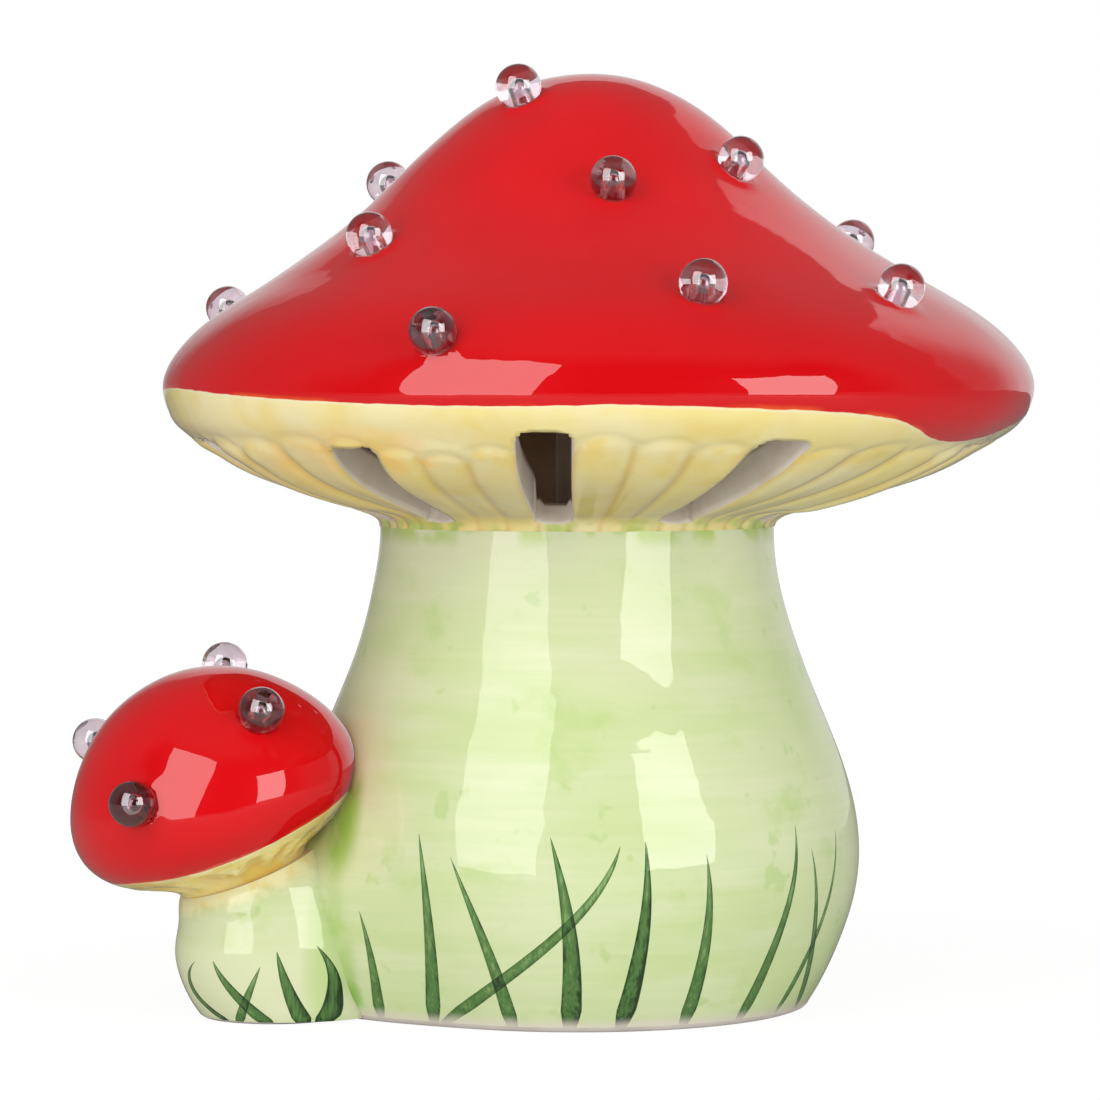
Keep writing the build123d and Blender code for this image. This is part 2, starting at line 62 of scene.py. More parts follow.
# Each slot in the gills, cut by hand: bearing at the neck, bearing at the lip, radius of its outer end
SLOTS = (
    (-189, -189, 98.5), (-158, -162, 96), (-132, -124.5, 94.5), (-97, -96.5, 99.5), (-62.5, -64.5, 98.5),
    (-24, -20, 96), (10, 10, 98), (40, 40, 98.5), (70, 70, 98),
)
SLOT_NECK = 48.0
SLOT_LIP = 99.0
SLOT_WALL = 10.5
SLOT_WIDTH = 9.0
SLOT_WIDENING = 4.5
LOBE_ANGLE = 8.2

# The small toadstool leans straight away from the large one
SMALL_BEARING = radians(198.4)
SMALL_LEAN = radians(21.7)
SMALL_DISTANCE = 79.2
SMALL_RIM_SHIFT = 8.5
SMALL_RIM_HEIGHT = 47.3
SMALL_CAP = ((0, 35.5), (25.2, 24.5), (33.6, 0), (29.0, -5.6))
SMALL_GILL = ((29.0, -5.6), (15.8, -14.0))
SMALL_NECK_DROP = 14.0
# Height, way out from the belly's axis, share of the lean and radius, up the small stem
SMALL_STEM = (
    (0, -4.5, 0, 17.6), (5.6, -2.0, 0, 18.85), (14.0, 0, 0, 19.5), (25.7, 1.67, 0.5, 17.3), (34.3, 3.32, 1, 15.8),
)

# Unevenness of the hand-made surfaces, as waves of a depth, a size and a seed
CAP_WAVES = ((0.55, 58.0, 1.3), (0.18, 22.0, 5.2))
STEM_WAVES = ((0.62, 62.0, 2.2), (0.22, 24.0, 8.4))
SMALL_CAP_WAVES = ((0.26, 34.0, 4.4), (0.08, 13.0, 2.7))
SMALL_STEM_WAVE = (0.4, 30.0, 6.1)
GLOBE_WAVE = (0.05, 6.0, 3.1)

GLOBE = 5.4
GLOBE_LIFT = 3.3
SPIGOT = 4.4
SEAT = 4.2
BORE = 1.7
BORE_TOP = -0.4

# Bearing round the cap and share of the way from top to lip, for each globe
LARGE_GLOBES = (
    (-131, 0.195), (-86, 0.44), (-42, 0.37), (-75, 0.76), (-40, 0.765), (20, 0.575),
    (-111, 0.87), (-138, 0.595), (162, 0.425), (164, 0.795), (75, 0.35), (50, 0.715),
    (95, 0.63), (123, 0.47), (130, 0.82), (88, 0.875),
)
SMALL_GLOBES = ((-136, 0.375), (113, 0.505), (-55, 0.495), (48, 0.65), (-130, 0.66), (-75, 0.78))

# Where the red glaze ends on the large cap: bearing and height
PAINT_EDGE = (
    (-180, 147), (-160, 147.5), (-150, 146.5), (-130, 144.5), (-114, 143.5), (-100, 143.5), (-88, 144),
    (-64, 143.6), (-55, 143.0), (-50, 142.0), (-45, 139.4), (-40, 137.2), (-34, 136.4), (-24, 137.5),
    (-17, 139.5), (-6, 142), (25, 144), (48, 143), (70, 144.5), (96, 145), (120, 144), (143, 146), (162, 147),
)
SMALL_PAINT_EDGE = (
    (-180, -3.5), (-140, -4), (-95, -3.5), (-50, -4.5), (-10, -3.5), (29, -4), (48, -5), (63, -5.4),
    (75, -5.3), (90, -5), (109, -4.4), (124, -4), (143, -3.5),
)

# Painted grass: base bearing and height, tip bearing and height, bend in degrees, width, strength.
# Its reach is the way round the stem, in millimetres, for each degree
GRASS_REACH = 1.08
SMALL_GRASS_REACH = 0.34
GRASS = (
    (-140, 1.5, -137.5, 27, 7, 3.0, 0.78), (-126, 1, -123, 46, 13, 3.9, 0.82),
    (-105.5, 0.3, -115.5, 41, 6.5, 3.5, 0.78), (-123, 1.2, -82, 44, 30, 3.5, 0.76),
    (-92, 1, -95.5, 46, 8, 4.8, 0.92), (-80, 1.2, -77, 45, 5, 4.5, 1.05),
    (-64.5, 1, -64.5, 41.5, 4, 3.8, 0.84), (-48.5, 0.3, -41.5, 47, 3.5, 3.5, 0.82),
    (-34.5, 2.2, -26, 44.5, 4.5, 2.4, 0.80), (-23.5, 1.2, -37, 41, -4.5, 2.9, 0.86),
    (-8, 0.6, -2, 42, -7, 3.8, 0.85), (6, 1, 17, 38, 4, 3.6, 0.82), (24, 0.6, 16, 45, 6, 3.8, 0.9),
    (41, 0.8, 46, 43, -6, 4.0, 0.84), (58, 1.2, 50, 37, 4, 3.4, 0.80), (66, 0.4, 84, 44, -5, 3.6, 0.84),
    (84, 1, 80, 41, 8, 4.2, 0.94), (101, 0.5, 108, 46, -6, 3.8, 0.84), (116, 1, 112, 36, 5, 3.4, 0.80),
    (129, 0.6, 138, 43, 6, 3.8, 0.88), (148, 0.8, 143, 40, -6, 3.8, 0.84), (164, 0.6, 160, 27, 3, 3.2, 0.80),
)
SMALL_GRASS = (
    (-114, 0, -134, 14.5, -80, 3.2, 0.98), (-78, 0, -118, 15, -22, 3.4, 0.86),
    (-103.5, 0, -85, 14, 2, 2.7, 0.74), (-54.5, 0, -74.5, 17.5, -11, 3.6, 0.95),
    (-44, 0, -50, 18.5, 34, 4.6, 1.08), (140, 0, 150, 16, -8, 3.0, 0.85), (170, 0, 158, 15, 8, 3.0, 0.84),
    (-165, 0, -172, 17, 6, 3.0, 0.86), (112, 0, 102, 15, 10, 3.0, 0.85),
)

rng = np.random.default_rng(7)


# Curves and surfaces


class Outline:
    """A smooth outline of radius and height, read by its length from the top."""

    def __init__(self, *parts):
        dense = [self.through(*part) for part in parts]
        self.points = np.concatenate([dense[0]] + [more[1:] for more in dense[1:]])
        steps = np.linalg.norm(np.diff(self.points, axis=0), axis=1)
        self.run = np.concatenate([[0], np.cumsum(steps)])
        self.length = self.run[-1]
        self.part_length = self.run[len(dense[0]) - 1]
        slope = np.gradient(self.points, self.run, axis=0)
        self.slope = slope / np.linalg.norm(slope, axis=1)[:, None]

    @staticmethod
    def through(points, start, end, fine=80):
        """Closely spaced points of a cubic curve through the given points, with set directions at its ends."""
        p = np.array(points, float)
        h = np.linalg.norm(np.diff(p, axis=0), axis=1)
        n = len(p)
        rows = np.zeros((n, n))
        sides = np.zeros((n, 2))
        rows[0, 0] = rows[-1, -1] = 1
        sides[0] = np.array(start) / hypot(*start)
        sides[-1] = np.array(end) / hypot(*end)
        for i in range(1, n - 1):
            rows[i, i - 1:i + 2] = h[i], 2 * (h[i - 1] + h[i]), h[i - 1]
            sides[i] = 3 * (h[i] * (p[i] - p[i - 1]) / h[i - 1] + h[i - 1] * (p[i + 1] - p[i]) / h[i])
        d = np.linalg.solve(rows, sides)
        t = np.linspace(0, 1, fine, endpoint=False)[:, None]
        spans = [
            (2 * t**3 - 3 * t**2 + 1) * p[i]
            + (t**3 - 2 * t**2 + t) * h[i] * d[i]
            + (3 * t**2 - 2 * t**3) * p[i + 1]
            + (t**3 - t**2) * h[i] * d[i + 1]
            for i in range(n - 1)
        ]
        return np.concatenate(spans + [p[-1:]])

    def radius(self, s):
        return np.interp(s, self.run, self.points[:, 0])

    def height(self, s):
        return np.interp(s, self.run, self.points[:, 1])

    def at_height(self, z):
        return np.interp(-z, -self.points[:, 1], self.run)

    def facing(self, s):
        """Outward direction, as radius and height."""
        return -np.interp(s, self.run, self.slope[:, 1]), np.interp(s, self.run, self.slope[:, 0])


def smooth(value, low, high):
    """0 below low, 1 above high, and an even bend between them."""
    share = np.clip((value - low) / (high - low), 0, 1)
    return share * share * (3 - 2 * share)


def all_round(columns):
    """Bearings of evenly spaced columns."""
    return np.linspace(0, 2 * pi, columns, endpoint=False)


def turned(angle):
    """An angle brought between minus and plus half a turn."""
    return (angle + pi) % (2 * pi) - pi


def bell(value, width):
    """1 at zero, falling evenly to both sides."""
    return np.exp(-((value / width) ** 2))


def ripple(points, *waves):
    """Slow unevenness over a surface."""
    stand = 0.0
    for depth, size, seed in waves:
        flat = points.reshape(-1, 3) / size + seed
        values = np.array([noise.noise(p) for p in flat.tolist()]).reshape(points.shape[:-1])
        stand = stand + depth * (values * 1.6)
    return stand


def ring_line(pairs, columns):
    """A value that runs round the axis, from bearings and values, softened a little."""
    bearings, values = np.array(pairs, float).T
    half_degrees = np.arange(0, 360, 0.5)
    fine = np.interp(half_degrees, bearings % 360, values, period=360)
    reach = 16
    weights = np.exp(-0.5 * (np.arange(-reach, reach + 1) / 5.0) ** 2)
    wide = np.concatenate([fine[-reach:], fine, fine[:reach]])
    even = np.convolve(wide, weights / weights.sum(), mode="valid")
    return np.interp(np.linspace(0, 360, columns, endpoint=False), half_degrees, even, period=360)


def snap(s, t, gap, outline):
    """Moves the points of a grid that lie within half a step of a hole's edge onto the edge."""
    step = 0.05
    row_step = np.abs(np.gradient(s, axis=0))
    turn_step = 2 * pi / s.shape[1]
    for _ in range(3):
        radius = np.maximum(outline.radius(s), 1.0)
        far = gap(s, t)
        along = (gap(s + step, t) - far) / step
        across = (gap(s, t + step / radius) - far) / step
        size = np.maximum(along**2 + across**2, 0.2)
        reach = 0.54 * np.maximum(np.abs(along) * row_step, np.abs(across) * radius * turn_step)
        near = np.abs(far) < reach
        s = np.where(near, s - far * along / size, s)
        t = np.where(near, t - far * across / size / radius, t)
    return s, t


def middle(values):
    """The mean over each face of a grid that closes on itself sideways."""
    right = np.roll(values, -1, axis=1)
    return (values[:-1] + values[1:] + right[:-1] + right[1:]) / 4


def ring_faces(number):
    """The faces between each two rings of numbered points."""
    beside = np.roll(number, -1, axis=1)
    return np.stack([number[:-1], number[1:], beside[1:], beside[:-1]], -1)


def grid_facing(grid):
    """Outward direction at each point of a grid that closes on itself sideways."""
    down = np.gradient(grid, axis=0)
    side = np.roll(grid, -1, axis=1) - np.roll(grid, 1, axis=1)
    out = np.cross(down, side)
    size = np.linalg.norm(out, axis=2, keepdims=True)
    return np.where(size > 1e-9, out / np.maximum(size, 1e-9), (0, 0, 1))


def place_object(name, data):
    """A new object in the scene."""
    made = bpy.data.objects.new(name, data)
    bpy.context.scene.collection.objects.link(made)
    return made


def finish_mesh(name, points, faces, kinds, paints, marks=None, sharp=None):
    """Makes an object from points in millimetres, faces, the paint of each face and marks on the points."""
    used = np.unique(np.concatenate([np.ravel(f) for f in faces]))
    order = np.full(len(points), -1)
    order[used] = np.arange(len(used))
    mesh = bpy.data.meshes.new(name)
    lists = [row for block in faces for row in order[np.asarray(block)].tolist()]
    mesh.from_pydata((points[used] * MM).tolist(), [], lists)
    mesh.shade_smooth()
    for paint in paints:
        mesh.materials.append(paint)
    kinds = np.concatenate([np.full(len(block), kind, np.int32) for block, kind in zip(faces, kinds)])
    mesh.polygons.foreach_set("material_index", kinds)
    for mark, values in (marks or {}).items():
        spread = np.zeros(len(points), np.float32)
        spread[:len(values)] = values
        mesh.attributes.new(mark, "FLOAT", "POINT").data.foreach_set("value", spread[used])
    if sharp:
        mesh.set_sharp_from_angle(angle=radians(sharp))
    mesh.update()
    return place_object(name, mesh), order


def read(items, key):
    """One whole number from each item of a mesh."""
    values = np.zeros(len(items), np.int32)
    items.foreach_get(key, values)
    return values


# Share of a hole's wall that each of its rounded edges takes
ROUNDED = 0.17


def shell(name, outer, inner, keep, facing, paints, marks, pole=False):
    """A wall between two grids, with holes where faces aren't kept, softened edges there and level ends."""
    rows, columns = outer.shape[:2]
    count = rows * columns
    points = [outer.reshape(-1, 3), inner.reshape(-1, 3)]
    number = np.arange(count).reshape(rows, columns)
    if pole:
        number[0] = number[0, 0]
    quads = ring_faces(number)
    kept = keep.copy()
    faces = []
    kinds = []
    if pole:
        kept[0] = False
        fan = quads[0][:, :3]
        faces += [fan, fan[:, ::-1] + count]
        kinds += [0, 1]
    skin = quads[kept]
    faces += [skin, skin[:, ::-1] + count]
    kinds += [0, 1]

    # Walls round the holes have two more rows of points, so that their edges look rounded
    extra = {}
    hole_walls = []
    end_walls = []
    made = 2 * count

    def beneath(point):
        nonlocal made
        if point not in extra:
            top, low = points[0][point], points[1][point]
            points.append(np.array([top + (low - top) * ROUNDED, top + (low - top) * (1 - ROUNDED)]))
            extra[point] = made
            made += 2
        return extra[point]

    for row, column in np.argwhere(keep):
        if pole and row == 0:
            continue
        a, b, c, d = quads[row, column].tolist()
        sides = (
            (a, b, keep[row, column - 1]),
            (b, c, keep[row + 1, column] if row + 1 < rows - 1 else None),
            (c, d, keep[row, (column + 1) % columns]),
            (d, a, keep[row - 1, column] if row > 0 else None),
        )
        for first, last, neighbour in sides:
            if neighbour is None:
                end_walls.append((last, first, first + count, last + count))
            elif not neighbour:
                p, q = beneath(first), beneath(last)
                hole_walls.append((last, first, p, q))
                hole_walls.append((q, p, p + 1, q + 1))
                hole_walls.append((q + 1, p + 1, first + count, last + count))
    for walls, kind in ((hole_walls, 2), (end_walls, 1)):
        if walls:
            faces.append(np.array(walls))
            kinds.append(kind)

    made_object, order = finish_mesh(name, np.concatenate(points), faces, kinds, paints, marks)
    mesh = made_object.data
    # The level ends are crisp, and the skin there shades as if it ran on into the next piece
    ends = set()
    for wall in hole_walls[1::3] + end_walls:
        for pair in (wall[:2], wall[2:]):
            ends.add(frozenset(order[list(pair)].tolist()))
    crisp = [frozenset(edge.vertices) in ends for edge in mesh.edges]
    mesh.attributes.new("sharp_edge", "BOOLEAN", "EDGE").data.foreach_set("value", crisp)
    run_on = {}
    for wall in end_walls:
        for point in wall[:2]:
            run_on[int(order[point])] = facing.reshape(-1, 3)[point].tolist()
    corners = read(mesh.loops, "vertex_index")
    glazed = np.repeat(read(mesh.polygons, "material_index") == 0, read(mesh.polygons, "loop_total"))
    as_it_is = [0.0, 0.0, 0.0]
    mesh.normals_split_custom_set([
        run_on.get(point, as_it_is) if on_skin else as_it_is
        for point, on_skin in zip(corners.tolist(), glazed.tolist())
    ])
    return made_object


def lathe(name, outline, columns, axes, paints, kinds):
    """A turned piece: rings along an outline of radius and height, from pole to pole, about given axes."""
    origin, across, beside, along = axes
    outline = np.array(outline, float)
    angle = all_round(columns)
    spokes = np.cos(angle)[:, None] * across + np.sin(angle)[:, None] * beside
    points = origin + outline[:, 0, None, None] * spokes + outline[:, 1, None, None] * along
    points = points + grid_facing(points) * ripple(points, GLOBE_WAVE)[..., None]
    rows = len(outline)
    number = np.arange(rows * columns).reshape(rows, columns)
    number[0] = number[0, 0]
    number[-1] = number[-1, 0]
    faces = list(ring_faces(number))
    faces[0] = faces[0][:, :3]
    faces[-1] = faces[-1][:, [0, 1, 3]]
    return finish_mesh(name, points.reshape(-1, 3), faces, kinds, paints, sharp=35.0)[0]


def ring_piece(name, points, glazed_rows, clay_rows, paint):
    """A stem of rings that end where they start: glazed outside, then bare under the foot, then its inside."""
    rows, columns = points.shape[:2]
    number = np.arange(rows * columns).reshape(rows, columns)
    number[-1] = number[0]
    kinds = [0 if row < glazed_rows else 1 if row < clay_rows else 2 for row in range(rows - 1)]
    paints = [paint, clay_paint, inside_paint]
    return finish_mesh(name, points.reshape(-1, 3), list(ring_faces(number)), kinds, paints, sharp=40.0)[0]


# Paint


class Field:
    """A value inside a material, so that a pattern can be written as arithmetic."""

    def __init__(self, paint, socket):
        self.paint = paint
        self.socket = socket

    def __add__(self, other):
        return self.paint.math("ADD", self, other)

    def __sub__(self, other):
        return self.paint.math("SUBTRACT", self, other)

    def __rsub__(self, other):
        return self.paint.math("SUBTRACT", other, self)

    def __mul__(self, other):
        return self.paint.math("MULTIPLY", self, other)

    def __truediv__(self, other):
        return self.paint.math("DIVIDE", self, other)

    def __abs__(self):
        return self.paint.math("ABSOLUTE", self)

    __radd__ = __add__
    __rmul__ = __mul__

    def step(self, low, high):
        """0 at low and 1 at high, with an even bend between them; low may be the larger."""
        node = self.paint.add("MapRange", interpolation_type="SMOOTHSTEP")
        self.paint.give(node.inputs["Value"], self)
        node.inputs["From Min"].default_value = min(low, high)
        node.inputs["From Max"].default_value = max(low, high)
        node.inputs["To Min"].default_value = 0.0 if low < high else 1.0
        node.inputs["To Max"].default_value = 1.0 if low < high else 0.0
        return Field(self.paint, node.outputs["Result"])


class Paint:
    """One material, painted by patterns in the object's own coordinates."""

    def __init__(self, name, **values):
        self.material = bpy.data.materials.new(name)
        self.material.use_nodes = True
        self.tree = self.material.node_tree
        self.shader = self.tree.nodes["Principled BSDF"]
        self.spot = self.add("TexCoord").outputs["Object"]
        apart = self.add("SeparateXYZ")
        self.link(self.spot, apart.inputs[0])
        self.x, self.y, self.z = [Field(self, socket) * 1000.0 for socket in apart.outputs]
        for key, value in values.items():
            self.shader.inputs[key.replace("_", " ")].default_value = value

    def add(self, kind, **settings):
        node = self.tree.nodes.new("ShaderNode" + kind)
        for key, value in settings.items():
            setattr(node, key, value)
        return node

    def link(self, source, target):
        self.tree.links.new(source, target)

    def ray(self, kind):
        """1 for the light paths of this kind."""
        return Field(self, self.add("LightPath").outputs[f"Is {kind} Ray"])

    def give(self, socket, value):
        if isinstance(value, Field):
            self.link(value.socket, socket)
        elif isinstance(value, tuple):
            socket.default_value = (*value, 1.0)
        else:
            socket.default_value = value

    def math(self, operation, *values):
        node = self.add("Math", operation=operation)
        for socket, value in zip(node.inputs, values):
            self.give(socket, value)
        return Field(self, node.outputs[0])

    def mark(self, name):
        return Field(self, self.add("Attribute", attribute_name=name).outputs["Fac"])

    def noise(self, size, detail=2.0, stretch=(1, 1, 1), shift=0.0, rough=0.5):
        """Soft patches about size millimetres across, between 0 and 1."""
        place = self.add("VectorMath", operation="MULTIPLY_ADD")
        self.link(self.spot, place.inputs[0])
        place.inputs[1].default_value = [share * 1000.0 / size for share in stretch]
        place.inputs[2].default_value = (shift, 1.7 * shift, 0.6 * shift)
        node = self.add("TexNoise")
        self.link(place.outputs[0], node.inputs["Vector"])
        node.inputs["Scale"].default_value = 1.0
        node.inputs["Detail"].default_value = detail
        node.inputs["Roughness"].default_value = rough
        return Field(self, node.outputs["Fac"])

    def mix(self, share, first, second):
        node = self.add("Mix", data_type="RGBA")
        for socket, value in zip((node.inputs[0], node.inputs[6], node.inputs[7]), (share, first, second)):
            self.give(socket, value)
        return Field(self, node.outputs[2])

    def over(self, ground, *coats):
        """The ground with coats of colour laid over it, each with its share."""
        for share, colour in coats:
            ground = self.mix(share, ground, colour)
        return ground

    def near(self, point, size):
        """1 at a point and 0 beyond the given reach along X, Y and Z."""
        parts = [(value - centre) / reach for value, centre, reach in zip((self.x, self.y, self.z), point, size)]
        return (parts[0] * parts[0] + parts[1] * parts[1] + parts[2] * parts[2]).step(1.0, 0.0)

    def colour(self, value):
        self.give(self.shader.inputs["Base Color"], value)

    def stain(self, size, detail, low, high):
        """Colours the material in soft patches of two colours."""
        self.colour(self.mix(self.noise(size, detail).step(0.3, 0.7), low, high))

    def bump(self, height, depth, socket="Normal"):
        node = self.add("Bump")
        node.inputs["Strength"].default_value = 1.0
        node.inputs["Distance"].default_value = depth * MM
        self.give(node.inputs["Height"], height)
        self.link(node.outputs["Normal"], self.shader.inputs[socket])


GLAZE = {
    "Roughness": 0.4, "Specular_IOR_Level": 0.05, "Coat_Weight": 1.0, "Coat_Roughness": 0.02, "Coat_IOR": 1.68,
}
STEM_COAT = 0.78


def glaze(name, **values):
    """A glossy clear glaze over paint, with the slight unevenness of a dipped coat."""
    paint = Paint(name, **{**GLAZE, **values})
    height = paint.noise(16.0, 2.0) + paint.noise(5.0, 1.0) * 0.08
    paint.bump(height, 0.26, "Coat Normal")
    return paint


def yellow_colour(paint):
    """Pale yellow wash, with deeper brushed patches, most of all in the furrows and at the lobes' ends."""
    pale = paint.noise(26.0, 3.0).step(0.38, 0.66)
    deep = paint.noise(15.0, 3.0, shift=4.0).step(0.48, 0.72)
    strokes = paint.noise(8.0, 3.0, (1, 1, 0.5), 9.0).step(0.44, 0.62)
    reach = paint.mark("reach")
    ends = reach.step(-0.5, 1.5) * reach.step(13.0, 2.0)
    furrow = (1.0 - paint.mark("lobe")).step(0.25, 0.95) * reach.step(-0.5, 3.0)
    return paint.over(
        paint.mix(pale, (0.90, 0.76, 0.30), (0.90, 0.80, 0.44)),
        (deep * 0.55, (0.88, 0.67, 0.18)),
        (ends * strokes * 0.7, (0.90, 0.68, 0.20)),
        (furrow * 0.55, (0.80, 0.56, 0.17)),
    )


def red_over_yellow():
    """The caps' red, laid over the yellow of the gills. It ends in an uneven line."""
    paint = glaze("red_over_yellow")
    edge = paint.mark("edge") + (paint.noise(7.0, 2.0) - 0.5) * 0.7
    mottle = paint.noise(34.0, 3.0).step(0.3, 0.7)
    brush = paint.noise(9.0, 3.0, (1, 1, 0.4), 5.0).step(0.55, 0.85)
    # The red is painted darker low on the large cap, and half as much so on the small one: painted shade, which
    # tones down the brightly lit rim
    low_painted_shade = paint.z.step(182.0, 150.0) * (paint.z.step(90.0, 130.0) * 0.40 + 0.35)
    thin = edge.step(1.2, 0.1) * paint.noise(24.0, 3.0, shift=2.0).step(0.46, 0.60)
    red = paint.over(
        paint.mix(mottle, (0.72, 0.002, 0.005), (0.78, 0.003, 0.007)),
        (brush * 0.35, (0.82, 0.008, 0.008)),
        (low_painted_shade, (0.60, 0.0015, 0.004)),
        (thin * 0.75, (0.82, 0.10, 0.012)),
    )
    # Green from the large stem's neck, and orange daubs on the small gills
    tinge = paint.mark("neck").step(5.5, 0.8) * paint.noise(9.0, 2.0, shift=7.0).step(0.46, 0.60)
    daubs = paint.noise(4.5, 3.0, (1, 1, 0.5), 21.0).step(0.50, 0.60) * paint.z.step(66.0, 62.0)
    yellow = paint.over(
        yellow_colour(paint),
        (tinge * paint.z.step(80.0, 100.0) * 0.85, (0.50, 0.64, 0.14)),
        (daubs * 0.75, (0.86, 0.60, 0.10)),
        (edge.step(-1.0, -0.1) * 0.6, (0.92, 0.84, 0.58)),
    )
    paint.colour(paint.mix(edge.step(-0.12, 0.12), yellow, red))
    return paint.material


class Plain(Paint):
    """Patterns in a tree that has no gloss shader of its own."""

    def __init__(self, tree):
        self.tree = tree


def blade_group():
    """A brush stroke of grass: full at the foot, drawn out to a point, darker along its edges."""
    group = bpy.data.node_groups.new("grass_blade", "ShaderNodeTree")
    names = ("Bearing", "Height", "Base", "Foot", "Turn", "Rise", "Bend", "Width", "Reach", "Strength")
    for name in names:
        group.interface.new_socket(name, in_out="INPUT", socket_type="NodeSocketFloat")
    group.interface.new_socket("Ink", in_out="OUTPUT", socket_type="NodeSocketFloat")
    source = group.nodes.new("NodeGroupInput")
    target = group.nodes.new("NodeGroupOutput")

    inside = Plain(group)
    bearing, height, base, foot, turn, rise, bend, width, reach, strength = [
        Field(inside, source.outputs[name]) for name in names
    ]
    share = (height - foot) / rise
    rest = 1.0 - share
    line = base + turn * share + bend * share * rest
    apart = inside.math("WRAP", bearing - line, 180.0, -180.0) * reach
    swell = inside.math("MINIMUM", inside.math("SQRT", inside.math("MAXIMUM", share * 7.0 + 0.3, 0.0)), 1.0)
    taper = inside.math("POWER", inside.math("MAXIMUM", rest, 0.0001), 0.8)
    half = width * 0.56 * swell * taper
    across = apart / (half + 0.02)
    side = abs(across)
    cover = side.step(1.06, 0.94) * share.step(-0.03, 0.0) * share.step(1.0, 0.995)
    rim = side * side * side * side
    blot = share.step(0.10, 0.0) * 0.20
    thinner = (1.0 - side) * share.step(0.2, 0.9) * 0.24
    depth = (rim * 0.34 + across.step(-0.2, 0.9) * 0.12 + blot + 0.56 - thinner) * strength
    group.links.new((cover * depth).socket, target.inputs["Ink"])
    return group


blade = blade_group()


def paint_grass(paint, ground, bearing, strokes, reach):
    """Lays the strokes over the ground, darker where they cross."""
    clear = None
    for base, foot, tip, top, bend, width, strength in strokes:
        node = paint.add("Group", node_tree=blade)
        turn = (tip - base + 180) % 360 - 180
        slant = sqrt(1 + (turn * reach / (top - foot)) ** 2)
        values = {
            "Base": base, "Foot": foot, "Turn": turn, "Rise": top - foot, "Bend": bend,
            "Width": width * slant, "Reach": reach, "Strength": strength,
        }
        paint.give(node.inputs["Bearing"], bearing)
        paint.give(node.inputs["Height"], paint.z)
        for name, value in values.items():
            node.inputs[name].default_value = value
        left = 1.0 - Field(paint, node.outputs["Ink"]) * 0.92
        clear = left if clear is None else clear * left
    ink = 1.0 - clear
    streak = paint.noise(0.6, 3.0, (1, 1, 0.06), 3.0) - 0.5
    wet = paint.noise(2.4, 3.0, (1, 1, 0.5), 8.0) - 0.5
    ragged = paint.noise(0.9, 2.0, shift=5.0) - 0.5
    depth = ink + streak * 0.62 + wet * 0.46 + 0.11
    cover = (ink + ragged * 0.22).step(0.08, 0.28)
    stroke = paint.mix(depth.step(0.18, 0.62), (0.22, 0.37, 0.12), (0.075, 0.185, 0.045))
    stroke = paint.mix(depth.step(0.58, 0.90), stroke, (0.010, 0.036, 0.010))
    return paint.mix(cover * (depth.step(0.1, 0.5) * 0.22 + 0.76), ground, stroke)


def green_colour(paint):
    """Pale green wash in soft level strokes, with paler and deeper patches and a few dabs."""
    patch = paint.noise(34.0, 3.0, (0.7, 0.7, 1)).step(0.36, 0.66)
    broad = paint.noise(8.0, 2.0, (0.2, 0.2, 1), 6.0).step(0.36, 0.70)
    pool = paint.noise(16.0, 4.0, (0.8, 0.8, 1), 15.0, 0.6).step(0.56, 0.74)
    fine = paint.noise(1.5, 2.0, (0.05, 0.05, 1), 2.0).step(0.3, 0.7)
    dab = paint.noise(7.0, 3.0, shift=11.0).step(0.64, 0.74)
    return paint.over(
        paint.mix(patch, (0.69, 0.765, 0.455), (0.62, 0.735, 0.37)),
        (broad * 0.60, (0.74, 0.785, 0.53)),
        (pool * 0.60, (0.50, 0.68, 0.235)),
        (fine * 0.16, (0.50, 0.66, 0.26)),
        (dab * 0.45, (0.42, 0.62, 0.18)),
    )


def bearing_about(paint, x, y):
    """Bearing in degrees about an upright axis."""
    return paint.math("ARCTAN2", paint.y - y, paint.x - x) * (180 / pi)


def green_stem():
    """Green wash, deeper in the crease beside the small stem, with grass and a cream border at the foot."""
    paint = glaze("green_stem", Coat_Weight=STEM_COAT)
    loose = paint.noise(6.0, 3.0, (1, 1, 0.4)).step(0.30, 0.62)
    crease = paint.near((-55, -39, 50), (7, 10, 20)) + paint.near((-56, -36, 18), (7, 12, 26)) * 0.7
    dabs = paint.z.step(109.5, 114.0) * paint.noise(11.0, 2.0, shift=7.0).step(0.47, 0.62)
    ground = paint.over(
        green_colour(paint),
        # A warm patch beside the small cap: painted light, the red of the small cap thrown onto the stem
        (paint.near((-50, -36, 62), (14, 14, 20)) * 0.3, (0.73, 0.69, 0.50)),
        (crease * (loose * 0.6 + 0.4), (0.36, 0.58, 0.11)),
        (paint.near((-53, -34, 6), (5, 8, 7)) * loose, (0.22, 0.46, 0.06)),
        # Painted light: the wash is paler towards the neck, to make up for the shade under the gills
        (paint.z.step(92.0, 114.0) * 0.5, (0.80, 0.83, 0.60)),
        (dabs * 0.8, (0.48, 0.64, 0.15)),
    )
    ground = paint_grass(paint, ground, bearing_about(paint, 0.0, 0.0), GRASS, GRASS_REACH)
    border = (paint.z + (paint.noise(14.0, 2.0) - 0.5) * 1.8).step(4.2, 1.0) * 0.85
    # The lowest edge of the foot is painted dark brown: a painted contact shadow against the table
    under = paint.z.step(0.8, 0.4)
    paint.colour(paint.over(ground, (border, (0.80, 0.72, 0.64)), (under, (0.36, 0.26, 0.18))))
    return paint.material


